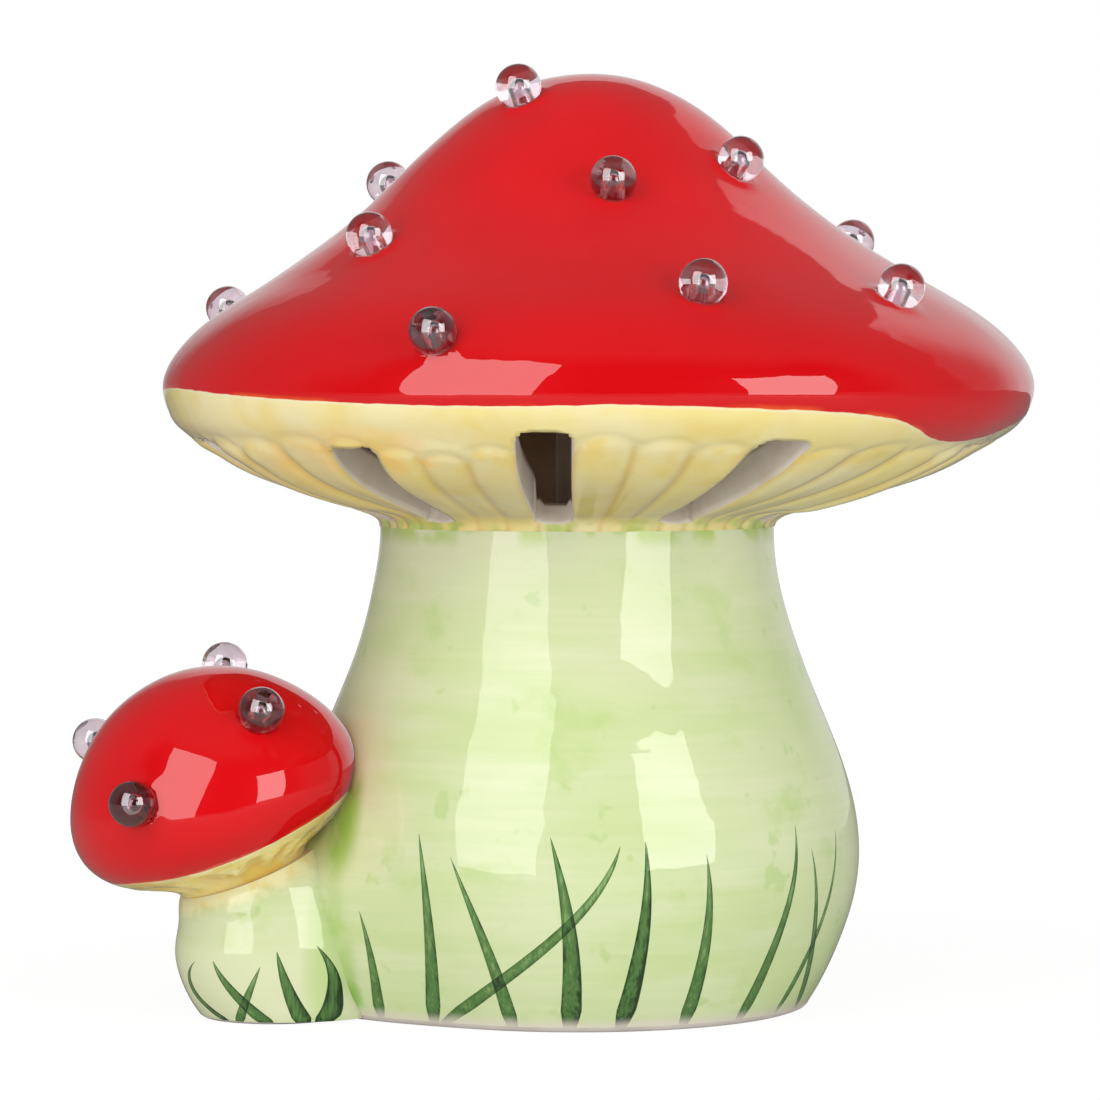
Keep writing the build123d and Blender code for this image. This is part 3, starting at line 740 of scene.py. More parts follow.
away = np.array([cos(SMALL_BEARING), sin(SMALL_BEARING), 0.0])
upward = np.array([0.0, 0.0, 1.0])
small_foot = away * SMALL_DISTANCE
small_rim = small_foot + away * SMALL_RIM_SHIFT + upward * SMALL_RIM_HEIGHT
lean_up = upward * cos(SMALL_LEAN) + away * sin(SMALL_LEAN)
lean_away = away * cos(SMALL_LEAN) - upward * sin(SMALL_LEAN)
lean_side = np.cross(lean_up, lean_away)


def green_small_stem():
    """Green wash, paler below, with grass. The yellow of the small gills runs down onto its top."""
    paint = glaze("green_small_stem", Coat_Weight=STEM_COAT)
    spot = zip((paint.x, paint.y, paint.z), small_rim.tolist(), lean_up.tolist())
    below_neck = sum((rim - value) * part for value, rim, part in spot)
    daub = paint.noise(4.0, 3.0, shift=17.0)
    run_down = (below_neck - SMALL_NECK_DROP + (daub - 0.5) * 7.0).step(5.0, 1.0)
    yellow = paint.mix(daub.step(0.45, 0.62), (0.90, 0.85, 0.52), (0.89, 0.75, 0.30))
    ground = paint.over(
        green_colour(paint),
        (paint.z.step(30.0, 8.0) * 0.55, (0.77, 0.785, 0.56)),
        (paint.near((-58, -42, 14), (7, 12, 26)) * 0.55, (0.46, 0.66, 0.20)),
        (run_down * 0.9, yellow),
    )
    bearing = bearing_about(paint, *small_foot[:2].tolist())
    paint.colour(paint_grass(paint, ground, bearing, SMALL_GRASS, SMALL_GRASS_REACH))
    return paint.material


def stained(name, size, detail, low, high, grain=None, **values):
    """A material in soft patches of two colours, with a fine grain of a size, a detail, a stretch and a depth."""
    paint = Paint(name, **values)
    paint.stain(size, detail, low, high)
    if grain:
        grain_size, grain_detail, stretch, depth = grain
        paint.bump(paint.noise(grain_size, grain_detail, stretch), depth)
    return paint.material


EVEN = (1, 1, 1)
skin_paint = red_over_yellow()
green_paint = green_stem()
small_green_paint = green_small_stem()
clay_paint = stained(
    "bare_clay", 18.0, 3.0, (0.56, 0.50, 0.46), (0.66, 0.61, 0.56), (1.2, 3.0, EVEN, 0.06), Roughness=0.8,
)
inside_paint = stained(
    "clay_inside", 16.0, 4.0, (0.70, 0.54, 0.41), (0.78, 0.62, 0.48), (2.0, 3.0, EVEN, 0.1), Roughness=0.9,
)
cut_paint = stained(
    "cut_clay", 9.0, 3.0, (0.76, 0.66, 0.53), (0.86, 0.78, 0.68), (1.5, 3.0, (1, 1, 0.4), 0.08),
    Roughness=0.55, Coat_Weight=0.4, Coat_Roughness=0.1,
)
seat_paint = stained(
    "glazed_seat", 4.0, 3.0, (0.62, 0.03, 0.04), (0.72, 0.20, 0.22),
    Roughness=0.3, Coat_Weight=0.6, Coat_Roughness=0.05,
)
globe_paint = stained(
    "clear_acrylic", 3.0, 3.0, (0.82, 0.65, 0.73), (0.92, 0.80, 0.87), (2.2, 2.0, EVEN, 0.05),
    Transmission_Weight=1.0, IOR=1.49, Roughness=0.0, Coat_Weight=1.0, Coat_IOR=2.2, Coat_Roughness=0.01,
)
cement_paint = stained("clear_cement", 2.0, 3.0, (0.70, 0.30, 0.36), (0.82, 0.56, 0.60), Roughness=0.5)


# Surfaces of both toadstools


def skin_grid(outline, cap_rows, gill_rows, columns):
    """Lengths down an outline and bearings round it, with a row of the grid at the lip."""
    lip = outline.part_length
    lengths = np.concatenate([np.linspace(0, lip, cap_rows), np.linspace(lip, outline.length, gill_rows)[1:]])
    return np.meshgrid(lengths, all_round(columns), indexing="ij")


def seat_gap(outline, globes):
    """Gives a function that measures the distance outside the nearest globe's seat."""
    def gap(s, t):
        radius = outline.radius(s)
        far = np.full(s.shape, FAR_OFF)
        for bearing, share in globes:
            reach = np.hypot(s - share * outline.part_length, radius * turned(t - radians(bearing)))
            far = np.minimum(far, reach - SEAT)
        return far
    return gap


def seat_form(gap):
    """The glaze rises in a soft lip against a globe."""
    return 0.60 * bell(np.maximum(gap, 0), 2.2)


def kept_faces(s, t, *gaps):
    """Which faces of a grid lie outside every hole."""
    face_s, face_t = middle(s), middle(t)
    # The last column's faces close the round, where the bearing starts again
    face_t[:, -1] = (t[:-1, -1] + t[1:, -1]) / 2 + pi / t.shape[1]
    return np.minimum.reduce([gap(face_s, face_t) for gap in gaps]) > 0


def skin_pieces(names, cap_rows, outer, inner, keep, marks):
    """A cap and its gills, which meet at the lip."""
    facing = grid_facing(outer)
    parts = (
        (slice(0, cap_rows), keep[:cap_rows - 1], seat_paint, True),
        (slice(cap_rows - 1, None), keep[cap_rows - 1:], cut_paint, False),
    )
    return [
        shell(
            name, outer[rows], inner[rows], kept, facing[rows], [skin_paint, inside_paint, hole_paint],
            {mark: values[rows].ravel() for mark, values in marks.items()}, pole,
        )
        for name, (rows, kept, hole_paint, pole) in zip(names, parts)
    ]


# The large cap and its gills are one surface, from the top of the cap down to the neck

COLUMNS = 480
CAP_ROWS = 126
GILL_ROWS = 86
skin = Outline((CAP, LEVEL, LIP_SLOPE), (GILL, LIP_SLOPE, DOWN))
lip_at = skin.part_length
s, t = skin_grid(skin, CAP_ROWS, GILL_ROWS, COLUMNS)
globe_gap = seat_gap(skin, LARGE_GLOBES)
slot_necks, slot_lips, SLOT_ENDS = np.array(SLOTS).T
SLOT_BEARINGS = (slot_necks + slot_lips) / 2
SLOT_SLANTS = slot_lips - slot_necks


def slot_share(s):
    """How far out along the slots, from 0 at the neck to 1 at the lip."""
    return np.clip((skin.radius(s) - SLOT_NECK) / (SLOT_LIP - SLOT_NECK), 0, 1)


def slot_half(share):
    """Half of a slot's width."""
    return (SLOT_WIDTH + SLOT_WIDENING * share) / 2


def straightened(s, t):
    """Bearings in degrees, with the slots' slant taken out of them."""
    bearing = np.degrees(t)
    slant = np.interp(bearing, SLOT_BEARINGS, SLOT_SLANTS, period=360)
    return bearing - slant * (slot_share(s) - 0.5)


def slot_gap(s, t):
    """Distance outside the nearest slot."""
    radius = skin.radius(s)
    share = slot_share(s)
    centre = SLOT_BEARINGS + SLOT_SLANTS * (share[..., None] - 0.5)
    apart = (np.degrees(t)[..., None] - centre + 180) % 360 - 180
    nearest = np.abs(apart).argmin(-1)
    aside = radius * np.radians(np.take_along_axis(apart, nearest[..., None], -1)[..., 0])
    end = SLOT_ENDS[nearest]
    corner = 1.6 + 2.2 * share
    long = np.abs(radius - (SLOT_NECK + end) / 2) - (end - SLOT_NECK) / 2 + corner
    wide = np.abs(aside) - slot_half(share) + corner
    gap = np.hypot(np.maximum(long, 0), np.maximum(wide, 0)) + np.minimum(np.maximum(long, wide), 0) - corner
    return np.where(s > lip_at, gap, FAR_OFF)


# Below the lip, the grid's columns bend so that the sides of the slots lie along columns
lengths = s[:, 0]
out_share = slot_share(lengths)[:, None]
spread = np.degrees(slot_half(out_share) / np.maximum(skin.radius(lengths)[:, None], SLOT_NECK))
slot_middle = SLOT_BEARINGS + SLOT_SLANTS * (out_share - 0.5)
slot_sides = np.concatenate([slot_middle - spread, slot_middle + spread], axis=1)
column_step = 360 / COLUMNS
side_columns = np.round(slot_sides[CAP_ROWS] / column_step) * column_step
shifts = smooth(lengths - lip_at, 0.0, 3.0)[:, None] * (slot_sides - side_columns)
t = t + np.radians([np.interp(np.degrees(t[0]), side_columns, row, period=360) for row in shifts])
for holes in (globe_gap, slot_gap):
    s, t = snap(s, t, holes, skin)
keep = kept_faces(s, t, globe_gap, slot_gap)


def large_place(s, t):
    """A place on the even surface of the large cap and gills. The cap stands off the stem's axis by CAP_X."""
    radius, height = skin.radius(s), skin.height(s)
    drift = np.where(s <= lip_at, CAP_X, CAP_X * (height - NECK) / (LIP_Z - NECK))
    return np.stack([drift + radius * np.cos(t), radius * np.sin(t), height], -1)


def turn_out(pair, t):
    """A direction of radius and height, turned to a bearing."""
    outward, rise = pair
    return np.stack([outward * np.cos(t), outward * np.sin(t), rise], -1)


base = large_place(s, t)
out = turn_out(skin.facing(s), t)
to_neck = skin.length - s

# Lobes of the gills, parted by furrows, each a little different, with a slot in place of every fourth
slot_turns = np.sort(SLOT_BEARINGS % 360)
middles = []
for first, following in zip(slot_turns, np.append(slot_turns[1:], slot_turns[0] + 360)):
    share = round((following - first) / LOBE_ANGLE)
    middles += np.linspace(first, following, share, endpoint=False).tolist()
middles = np.array(middles)
lobe_count = len(middles)
borders = (middles + np.append(middles[1:], middles[0] + 360)) / 2
turn = (straightened(s, t) - borders[-1]) % 360
widths = np.diff(borders, prepend=borders[-1] - 360)
starts = np.cumsum(widths) - widths
order = np.searchsorted(starts, turn, side="right") - 1
across = (turn - starts[order]) / widths[order] * 2 - 1
is_slot = np.isin(middles.round(3), slot_turns.round(3))[order]
# The lobes end nearer the neck to the left of the front slot, and further out to its right
lobe_ends = rng.uniform(96.2, 97.8, lobe_count) - 5.0 * bell(middles - 246, 9) + 2.0 * bell(middles - 272, 5)
skew = rng.uniform(-0.14, 0.14, lobe_count)[order]
swell = rng.uniform(-0.25, 0.25, lobe_count)[order]
radius = skin.radius(s)
across = np.clip(across + skew * (1 - across**2) * smooth(radius, 50, 90), -1, 1)
lobe_end = lobe_ends[order] - 2.2 * across**2
crest = 1 - np.abs(across) ** 3.5
under = s > lip_at
raised = smooth(lobe_end - radius, -1.5, 2.5) * under
depth = 0.55 + 0.55 * smooth(radius, 52, 84)
lobes = raised * (depth * (crest - 0.8) + np.where(is_slot, 0, swell) * (1 - across**2))
groove = bell(radius - lobe_end, 1.3) * under
lobes = lobes - 0.30 * groove * smooth(radius, 80, 92)


def uneven(place, out):
    """How far the hand-made surface of the large cap stands out from its even outline."""
    x, y, z = np.moveaxis(place, -1, 0)
    sway = out[..., 0] * (0.8 - 2.5 * smooth(z, 170, 205)) * smooth(z, 120, 140)
    # The rim rolls under a little at the front, and has a flatter stretch to the right of the middle
    bearing = np.degrees(np.arctan2(y, x - CAP_X))
    front = bell(bearing + 90, 55)
    from_rim = z - 147.0
    roll = -0.17 * from_rim * bell(from_rim, 8.0) * front
    flat = 3.2 * smooth(bearing, -88, -55) * (1 - smooth(bearing, -54, -8)) * bell(from_rim, 14.0)
    slack = -1.3 * np.maximum(out[..., 0], 0) * bell(z - 172.0, 12.0)
    return ripple(place, *CAP_WAVES) * smooth(z, NECK, 126.0) + sway + roll + flat + slack


stand = uneven(base, out)
# The underside is fuller near the lip at the right, and slacker at the left
below_lip = smooth(-base[..., 2], -146.0, -138.0) * smooth(to_neck, 2.0, 20.0)
right = bell(np.degrees(turned(t)), 42)
left = bell(np.degrees(turned(t - pi)), 45)
stand = stand + below_lip * (
    right * 0.8 * smooth(radius, 92, 99)
    + left * (0.5 * smooth(radius, 96, 101) - 1.4 * (1 - smooth(radius, 88, 97)))
)
full = sum(bell(np.degrees(turned(t - radians(bearing))), 7) for bearing in (-33, -148))
stand = stand + 1.5 * full * smooth(radius, 52, 64) * (1 - smooth(radius, 92, 98)) * under
seat_lip = seat_form(globe_gap(s, t)) * (s <= lip_at)
outer = base + out * (stand + seat_lip + lobes)[..., None]

# Between the neck and the lip, the slots' walls stand upright
upright = smooth(radius, 47.6, 49.2) * (1 - smooth(radius, 98.0, 102.0)) * under
inward = -out * WALL
level = np.zeros_like(inward)
level[..., 2] = SLOT_WALL
inner = base + inward * (1 - upright[..., None]) + level * upright[..., None]

marks = {
    "edge": skin.at_height(ring_line(PAINT_EDGE, COLUMNS)) - s,
    "lobe": np.where(under, np.clip(crest, 0, 1) * raised, 1),
    "reach": np.where(under, lobe_end - radius, -20),
    "neck": to_neck,
}
large_cap, gills = skin_pieces(("large_cap_glazed", "gills_glazed"), CAP_ROWS, outer, inner, keep, marks)

# Where the two stems meet, both swell, so that they run together in a soft valley. It fades out upwards
FILLET = 34.0
FOOT_FILLET = 36.0
small_rings = np.array(SMALL_STEM)


def filleted(gap, height):
    """How far a surface swells when another stands this far off."""
    gap = gap + FILLET * smooth(height, 30, 52)
    reach = FOOT_FILLET + (FILLET - FOOT_FILLET) * smooth(height, 0, 16)
    return np.clip(1 - np.maximum(gap, 0) / reach, 0, 1) ** 2 * reach / 4


def small_stem_gap(points):
    """Level distance from the small stem."""
    height = points[..., 2]
    way_out = SMALL_DISTANCE + np.interp(height, small_rings[:, 0], small_rings[:, 1])
    far = np.hypot(points[..., 0] - away[0] * way_out, points[..., 1] - away[1] * way_out)
    return far - np.interp(height, small_rings[:, 0], small_rings[:, 3])


def large_stem_gap(points):
    """Level distance from the large stem."""
    return np.hypot(points[..., 0], points[..., 1]) - stem_line.radius(stem_line.at_height(points[..., 2]))


# Large stem, with its foot, the seat of the base plate and its inside

PLATE_SEAT = 42.8
PLATE_HEIGHT = 4.0
FLOOR_HOLE = 38.4
FLOOR_TOP = 9.0
stem_line = Outline((STEM, DOWN, FOOT_SLOPE))
foot_at = stem_line.length - 1.6
run = np.linspace(0, foot_at, 120)
foot_radius = float(stem_line.radius(foot_at))
# How far in and how high, round the foot's edge
rounding = [(foot_radius - inset, rise) for inset, rise in ((0.25, 0.72), (0.7, 0.28), (1.3, 0.06), (2.1, 0))]
floor = [(PLATE_SEAT, 0), (PLATE_SEAT, PLATE_HEIGHT), (FLOOR_HOLE, PLATE_HEIGHT), (FLOOR_HOLE, FLOOR_TOP)]
wall_run = np.linspace(stem_line.at_height(12.0), 0, 24)
wall_side, wall_up = stem_line.facing(wall_run)
inside = np.stack([stem_line.radius(wall_run) - WALL * wall_side, stem_line.height(wall_run) - WALL * wall_up], 1)
inside[0, 1] = FLOOR_TOP
inside[-1] = (NECK_RADIUS - WALL, NECK)
rings = np.concatenate(
    [np.stack([stem_line.radius(run), stem_line.height(run)], 1), rounding, floor, inside, [(NECK_RADIUS, NECK)]]
)
angle = all_round(COLUMNS)
spokes = np.stack([np.cos(angle), np.sin(angle), np.zeros(COLUMNS)], 1)
stem_points = rings[:, 0, None, None] * spokes + rings[:, 1, None, None] * upward
side, up = stem_line.facing(run)
stem_out = side[:, None, None] * spokes + up[:, None, None] * upward
outside = stem_points[:len(run)]
fade = smooth(run, 0, 16) * smooth(foot_at - run, 0, 12)
stem_points[:len(run)] += stem_out * (ripple(outside, *STEM_WAVES) * fade[:, None])[..., None]
joined = stem_points[:len(run) + len(rounding)]
joined += spokes * filleted(small_stem_gap(joined), joined[..., 2])[..., None]
large_stem = ring_piece("large_stem_glazed", stem_points, len(run) - 1, len(run) + len(rounding) + 2, green_paint)

# Small toadstool

SINK = 1.6
INNER_SINK = 2.4


def bed(points, sink):
    """Holds the points that would lie deep in the large stem just under its surface."""
    x, y, z = np.moveaxis(points, -1, 0)
    skin_radius = np.where((z > 0) & (z < NECK), stem_line.radius(stem_line.at_height(z)) - sink, 0)
    grow = np.maximum(skin_radius / np.maximum(np.hypot(x, y), 1.0), 1.0)
    return np.stack([x * grow, y * grow, z], -1)


SMALL_COLUMNS = 240
SMALL_ROWS = 64
SMALL_GILL_ROWS = 26
small_skin = Outline((SMALL_CAP, LEVEL, SMALL_LIP_SLOPE), (SMALL_GILL, SMALL_LIP_SLOPE, SMALL_NECK_SLOPE))
small_lip = small_skin.part_length
s, t = skin_grid(small_skin, SMALL_ROWS, SMALL_GILL_ROWS, SMALL_COLUMNS)
small_globe_gap = seat_gap(small_skin, SMALL_GLOBES)
s, t = snap(s, t, small_globe_gap, small_skin)
keep = kept_faces(s, t, small_globe_gap)


def small_turn(radius, height, t):
    """A radius and a height about the leaning axis, turned to a bearing."""
    return (
        (radius * np.cos(t))[..., None] * lean_away
        + (radius * np.sin(t))[..., None] * lean_side
        + height[..., None] * lean_up
    )


def small_place(s, t):
    """A place on the even surface of the small cap and gills."""
    return small_rim + small_turn(small_skin.radius(s), small_skin.height(s), t)


base = small_place(s, t)
out = small_turn(*small_skin.facing(s), t)
under = s > small_lip
to_neck = small_skin.length - s
seat_lip = seat_form(small_globe_gap(s, t)) * (s <= small_lip)
crimp = 0.4 * np.sin(t * 17 + 2 * np.sin(t * 3)) * smooth(s - small_lip, 1.0, 5.0) * smooth(to_neck, 1, 6)
stand = ripple(base, *SMALL_CAP_WAVES) * smooth(to_neck, 0, 8) + seat_lip + crimp
outer = bed(base + out * stand[..., None], SINK)
inner = bed(base - out * SMALL_WALL, INNER_SINK)
marks = {
    "edge": small_skin.at_height(ring_line(SMALL_PAINT_EDGE, SMALL_COLUMNS)) - s,
    "lobe": np.where(under, 0.5 + crimp, 1),
    "reach": np.where(under, s - small_lip, -20),
    "neck": to_neck,
}
small_names = ("small_cap_glazed", "small_gills_glazed")
small_cap, small_gills = skin_pieces(small_names, SMALL_ROWS, outer, inner, keep, marks)

# Radii of the rings that close the small foot, the second at its axis
FOOT_CLOSING = 17.0
AXIS = 0.01
small_line = Outline((small_rings[:, [3, 0]], (0.45, 0.89), (-0.25, 0.97)))
run = np.linspace(0.6, small_line.length, 58)
height = small_line.height(run)
radius = small_line.radius(run)
ring_run = np.interp(small_rings[:, 0], small_line.points[:, 1], small_line.run)
way_out, lean = [
    Outline((np.stack([ring_run, small_rings[:, column]], 1), (1, 0.3 * (column == 1)), (1, 0.06))).points
    for column in (1, 2)
]
way_out = np.interp(run, way_out[:, 0], way_out[:, 1])
tilt = SMALL_LEAN * np.interp(run, lean[:, 0], lean[:, 1])
centre = small_foot + away * way_out[:, None] + upward * height[:, None]
ring_away = away * np.cos(tilt)[:, None] - upward * np.sin(tilt)[:, None]
ring_side = np.cross(upward, away)
angle = all_round(SMALL_COLUMNS)
wheel = np.cos(angle)[None, :, None] * ring_away[:, None] + np.sin(angle)[None, :, None] * ring_side
small_outer = centre[:, None] + radius[:, None, None] * wheel
fade = smooth(height, 0, 8) * smooth(small_rings[-1, 0] - height, 0, 6)
small_outer = small_outer + wheel * (ripple(small_outer, SMALL_STEM_WAVE) * fade[:, None])[..., None]
small_outer = small_outer + wheel * filleted(large_stem_gap(small_outer), small_outer[..., 2])[..., None]
small_inner = centre[:, None] + (radius - SMALL_WALL)[:, None, None] * wheel
small_inner = small_inner[height > SMALL_WALL]
closing = centre[0] - upward * height[0] + np.array([FOOT_CLOSING, AXIS])[:, None, None] * wheel[0]
floor_up = centre[0] + upward * (SMALL_WALL - height[0]) + AXIS * wheel[:1]
small_points = bed(np.concatenate([small_outer[::-1], closing, floor_up, small_inner, small_outer[-1:]]), SINK)
small_stem = ring_piece("small_stem_glazed", small_points, len(run) - 1, len(run) + 1, small_green_paint)

# Clear globes, each on a spigot, with a blind domed bore from below

BALL_ROWS = 34
GLOBE_COLUMNS = 56
# Not along any globe's axis
ASKEW = (0.3, 0.9, 0.2)


def globe_outline(depth):
    """Ball, spigot and bore, from the top of the ball round to the top of the bore."""
    lowest = pi - np.arcsin(SPIGOT / GLOBE)
    ball = [(GLOBE * sin(a), GLOBE_LIFT + GLOBE * cos(a)) for a in np.linspace(0, lowest, BALL_ROWS)]
    ball[0] = (0, GLOBE_LIFT + GLOBE)
    tail = [(SPIGOT, -depth), (BORE, -depth)]
    dome = [(BORE * cos(a), GLOBE_LIFT + BORE_TOP + BORE * sin(a)) for a in np.linspace(0, pi / 2, 12)]
    dome[-1] = (0, GLOBE_LIFT + BORE_TOP + BORE)
    return ball + tail + dome


def set_globe(name, place, direction, depth):
    """A globe at a place on a cap, facing a direction, cemented to a depth."""
    direction = direction / np.linalg.norm(direction)
    across = np.cross(direction, ASKEW)
    across = across / np.linalg.norm(across)
    axes = (place, across, np.cross(direction, across), direction)
    outline = globe_outline(depth)
    kinds = [1 if BALL_ROWS - 1 <= row <= BALL_ROWS else 0 for row in range(len(outline) - 1)]
    made = lathe(name, outline, GLOBE_COLUMNS, axes, [globe_paint, cement_paint], kinds)
    # The photographed glaze hardly mirrors the globes
    made.visible_glossy = False
    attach(made, "ornament")
    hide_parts(name.replace("_clear", ""))


def large_seat(at, angle):
    """The place of a globe on the uneven large cap, and the direction that it faces."""
    direction = turn_out(skin.facing(at), angle)
    place = large_place(at, angle)
    return place + direction * uneven(place, direction), direction


def small_seat(at, angle):
    """The same on the small cap."""
    direction = small_turn(*small_skin.facing(at), angle)
    place = small_place(at, angle)
    return place + direction * ripple(place, *SMALL_CAP_WAVES), direction


for label, globes, length, seat, depth in (
    ("globe_{:02d}_clear", LARGE_GLOBES, lip_at, large_seat, WALL + 1.0),
    ("small_globe_{}_clear", SMALL_GLOBES, small_lip, small_seat, SMALL_WALL + 1.0),
):
    for index, (bearing, share) in enumerate(globes, 1):
        set_globe(label.format(index), *seat(np.array(share * length), np.array(radians(bearing))), depth)

for piece, node, slot in (
    (large_cap, "large_cap", "red_glaze"), (gills, "gill_plate", "yellow_glaze"),
    (large_stem, "large_stem", "green_glaze"), (small_cap, "small_cap", "red_glaze"),
    (small_gills, "small_gill_ring", "yellow_glaze"), (small_stem, "small_stem", "green_glaze"),
):
    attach(piece, "ornament")
    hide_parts(node)

# The photographed small cap doesn't mirror the large stem and gills either
large_stem.visible_glossy = False
gills.visible_glossy = False

# The lamp unit keeps its modelled shapes and takes its finishes here


def moulded(name, low, high, rough):
    """Plastic with a faint grain."""
    return stained(name, 12.0, 3.0, low, high, (0.6, 2.0, EVEN, 0.03), Roughness=rough)


nickel_paint = Paint("nickel", Metallic=1.0)
brushed = nickel_paint.noise(0.8, 3.0, (0.05, 1, 1))
nickel_paint.colour(nickel_paint.mix(brushed, (0.55, 0.54, 0.51), (0.72, 0.71, 0.68)))
nickel_paint.give(nickel_paint.shader.inputs["Roughness"], brushed * 0.2 + 0.22)

sleeve_paint = Paint("cell_sleeve", Roughness=0.35, Coat_Weight=0.5)
band = sleeve_paint.x.step(11.0, 11.3)
wear = sleeve_paint.noise(6.0, 3.0).step(0.3, 0.7)
dark_sleeve = sleeve_paint.mix(wear, (0.018, 0.020, 0.024), (0.035, 0.037, 0.042))
copper_sleeve = sleeve_paint.mix(wear, (0.42, 0.20, 0.09), (0.55, 0.29, 0.14))
sleeve_paint.colour(sleeve_paint.mix(band, dark_sleeve, copper_sleeve))

board_paint = Paint("solder_mask", Roughness=0.4, Coat_Weight=0.3)
tracks = abs(board_paint.math("SINE", board_paint.x * 2.1 + board_paint.math("SINE", board_paint.y * 0.9) * 2.0))
mask = board_paint.mix(board_paint.noise(5.0, 3.0), (0.010, 0.085, 0.030), (0.020, 0.13, 0.05))
board_paint.colour(board_paint.mix(tracks.step(0.86, 0.93) * 0.6, mask, (0.06, 0.22, 0.08)))

lens_paint = Paint("led_lens", Roughness=0.12, Transmission_Weight=0.6, IOR=1.5)
lens_paint.colour(lens_paint.mix(lens_paint.noise(2.0, 2.0), (0.90, 0.86, 0.66), (0.97, 0.94, 0.80)))

finishes = {
    ("base_plate",): moulded("white_plastic", (0.66, 0.65, 0.61), (0.74, 0.73, 0.69), 0.45),
    # The lamp post is painted dark brown in place of its white: painted shade, so that it stays as dark as the
    # shaded inside seen through the slots
    ("lamp_post",): moulded("shade_dark_plastic", (0.40, 0.29, 0.20), (0.48, 0.36, 0.26), 0.5),
    ("battery_door",): moulded("door_plastic", (0.64, 0.63, 0.59), (0.72, 0.71, 0.67), 0.42),
    ("switch_body", "switch_knob"): moulded("black_plastic", (0.016, 0.016, 0.016), (0.030, 0.030, 0.030), 0.4),
    ("aa_cell_1", "aa_cell_2", "aa_cell_3"): sleeve_paint.material,
    ("battery_contacts", "board_screws"): nickel_paint.material,
    ("circuit_board", "lamp_board"): board_paint.material,
    ("lamp_leds",): lens_paint.material,
    ("lamp_wires", "switch_wires", "battery_wires"): moulded(
        "wire_red", (0.42, 0.02, 0.02), (0.55, 0.035, 0.03), 0.4
    ),
}
for names, material in finishes.items():
    for name in names:
        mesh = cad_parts[name].data
        mesh.materials.clear()
        mesh.materials.append(material)

# Table, background, lamps and camera

TABLE_HALF = 4.0
floor_mesh = bpy.data.meshes.new("table")
corners = [(x * TABLE_HALF, y * TABLE_HALF, 0) for x, y in ((-1, -1), (1, -1), (1, 1), (-1, 1))]
floor_mesh.from_pydata(corners, [], [(0, 1, 2, 3)])
table = place_object("table", floor_mesh)
floor_material = bpy.data.materials.new("white_table")
floor_material.use_nodes = True
tree = floor_material.node_tree
tree.nodes.remove(tree.nodes["Principled BSDF"])
cloth = Plain(tree)
size = cloth.add("VectorMath", operation="LENGTH")
cloth.link(cloth.add("TexCoord").outputs["Object"], size.inputs[0])
far = Field(cloth, size.outputs["Value"]).step(0.15, 0.42)
seen = cloth.math("MAXIMUM", cloth.ray("Camera"), cloth.ray("Transmission"))
white = cloth.add("BsdfDiffuse")
cloth.give(white.inputs["Color"], 0.93 - cloth.ray("Glossy") * 0.62)
glow = cloth.add("Emission")
glow.inputs["Strength"].default_value = 1.05
blend = cloth.add("MixShader")
cloth.give(blend.inputs[0], seen * (0.88 + far * 0.12))
cloth.link(white.outputs[0], blend.inputs[1])
cloth.link(glow.outputs[0], blend.inputs[2])
cloth.link(blend.outputs[0], tree.nodes["Material Output"].inputs["Surface"])
floor_mesh.materials.append(floor_material)

# The studio: white where it is seen directly, and behind where it is seen through glass. The glaze mirrors a
# dim room, dark about the camera, with a pale wall behind that reaches round from the right
world = bpy.data.worlds.new("studio")
bpy.context.scene.world = world
world.use_nodes = True
sky = Plain(world.node_tree)
apart = sky.add("SeparateXYZ")
sky.link(sky.add("TexCoord").outputs["Generated"], apart.inputs[0])
east, north, height = [Field(sky, socket) for socket in apart.outputs]
round_right = sky.math("ARCTAN2", east, 0.0 - north) * (180 / pi)
behind = sky.math("WRAP", round_right, 360.0, 0.0)
rise = sky.math("ARCSINE", height) * (180 / pi)
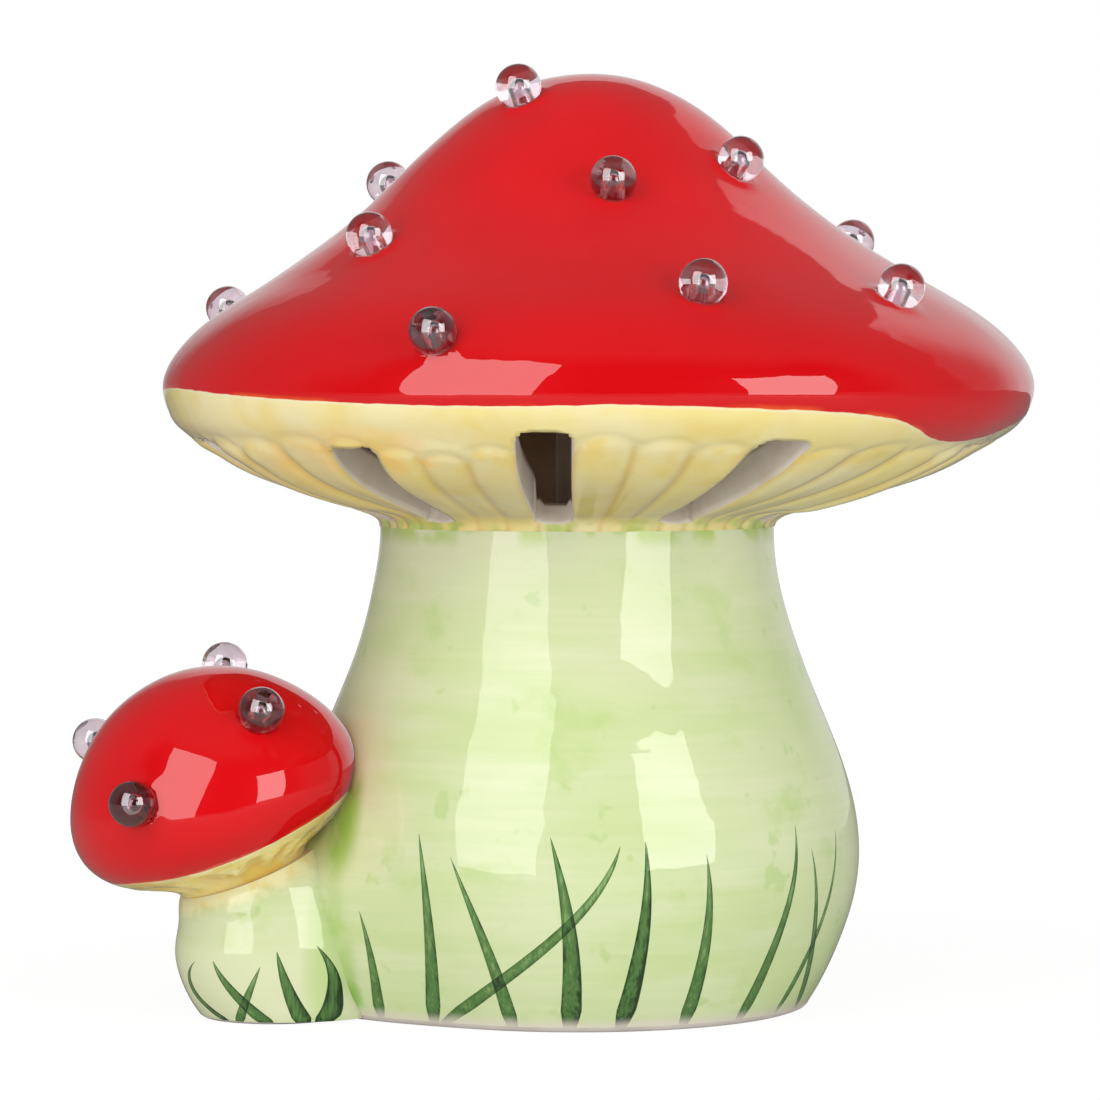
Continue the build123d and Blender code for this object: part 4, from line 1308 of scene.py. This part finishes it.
# The top edge of the pale wall, as a rise, and the wall's brightness along it
top = 46.0 - sky.math("MAXIMUM", 137.0 - behind, 0.0) * 0.6
top = top - sky.math("MINIMUM", sky.math("MAXIMUM", behind - 148.0, 0.0) * 0.86, 10.0)
top = top - sky.math("MAXIMUM", behind - 196.0, 0.0) * 2.0
wall = behind.step(106.0, 114.0) * (top - rise).step(-0.8, 0.8)
wall = wall * (behind.step(122.0, 152.0) * 0.44 + 0.26) * (behind.step(206.0, 184.0) * 0.75 + 0.25)
dark = abs(round_right).step(88.0, 62.0) * rise.step(66.0, 44.0)
low = rise.step(14.0, 2.0) * abs(round_right).step(72.0, 95.0) * 0.15
room = sky.math("MAXIMUM", sky.math("MAXIMUM", (1.0 - dark) * 0.14, low), wall)
# Even light that falls on the paint
FILL = 0.51
through = sky.ray("Transmission") * north.step(0.15, 0.55)
seen = sky.math("MAXIMUM", sky.ray("Camera"), through)
mirrored = sky.ray("Glossy")
room = room * mirrored + (1.0 - mirrored) * FILL
background = sky.tree.nodes["Background"]
background.inputs["Color"].default_value = (1, 1, 1, 1)
sky.give(background.inputs["Strength"], room * (1.0 - seen) + seen)

SOFTBOX_TARGET = Vector((0, 0, 0.11))


def softbox(name, bearing, rise, far, width, height, radiance):
    """A lit panel that faces the ornament, at a bearing to the right of the front and a rise above the level."""
    a, e = radians(bearing), radians(rise)
    way = Vector((sin(a) * cos(e), -cos(a) * cos(e), sin(e)))
    lamp = bpy.data.lights.new(name, "AREA")
    lamp.shape = "RECTANGLE"
    lamp.size = width
    lamp.size_y = height
    lamp.energy = radiance * pi * width * height
    made = place_object(name, lamp)
    made.location = SOFTBOX_TARGET + way * far
    made.rotation_mode = "QUATERNION"
    made.rotation_quaternion = (-way).to_track_quat("-Z", "Y")


softbox("left_softbox", -33.3, 22.0, 1.0, 0.60, 1.04, 2.45)
softbox("right_softbox", 41.0, 14.3, 1.0, 0.48, 0.655, 3.3)

# Fitted to the photograph
LENS = 148.25
EYE = (-0.00648, -1.0872, 0.14472)
LOOKS_DOWN = 1.8965
camera = bpy.data.cameras.new("camera")
camera.sensor_width = 36.0
camera.lens = LENS
eye = place_object("camera", camera)
eye.location = EYE
eye.rotation_euler = (radians(90 - LOOKS_DOWN), 0, 0)
bpy.context.scene.camera = eye
bpy.context.scene.view_settings.view_transform = "Standard"
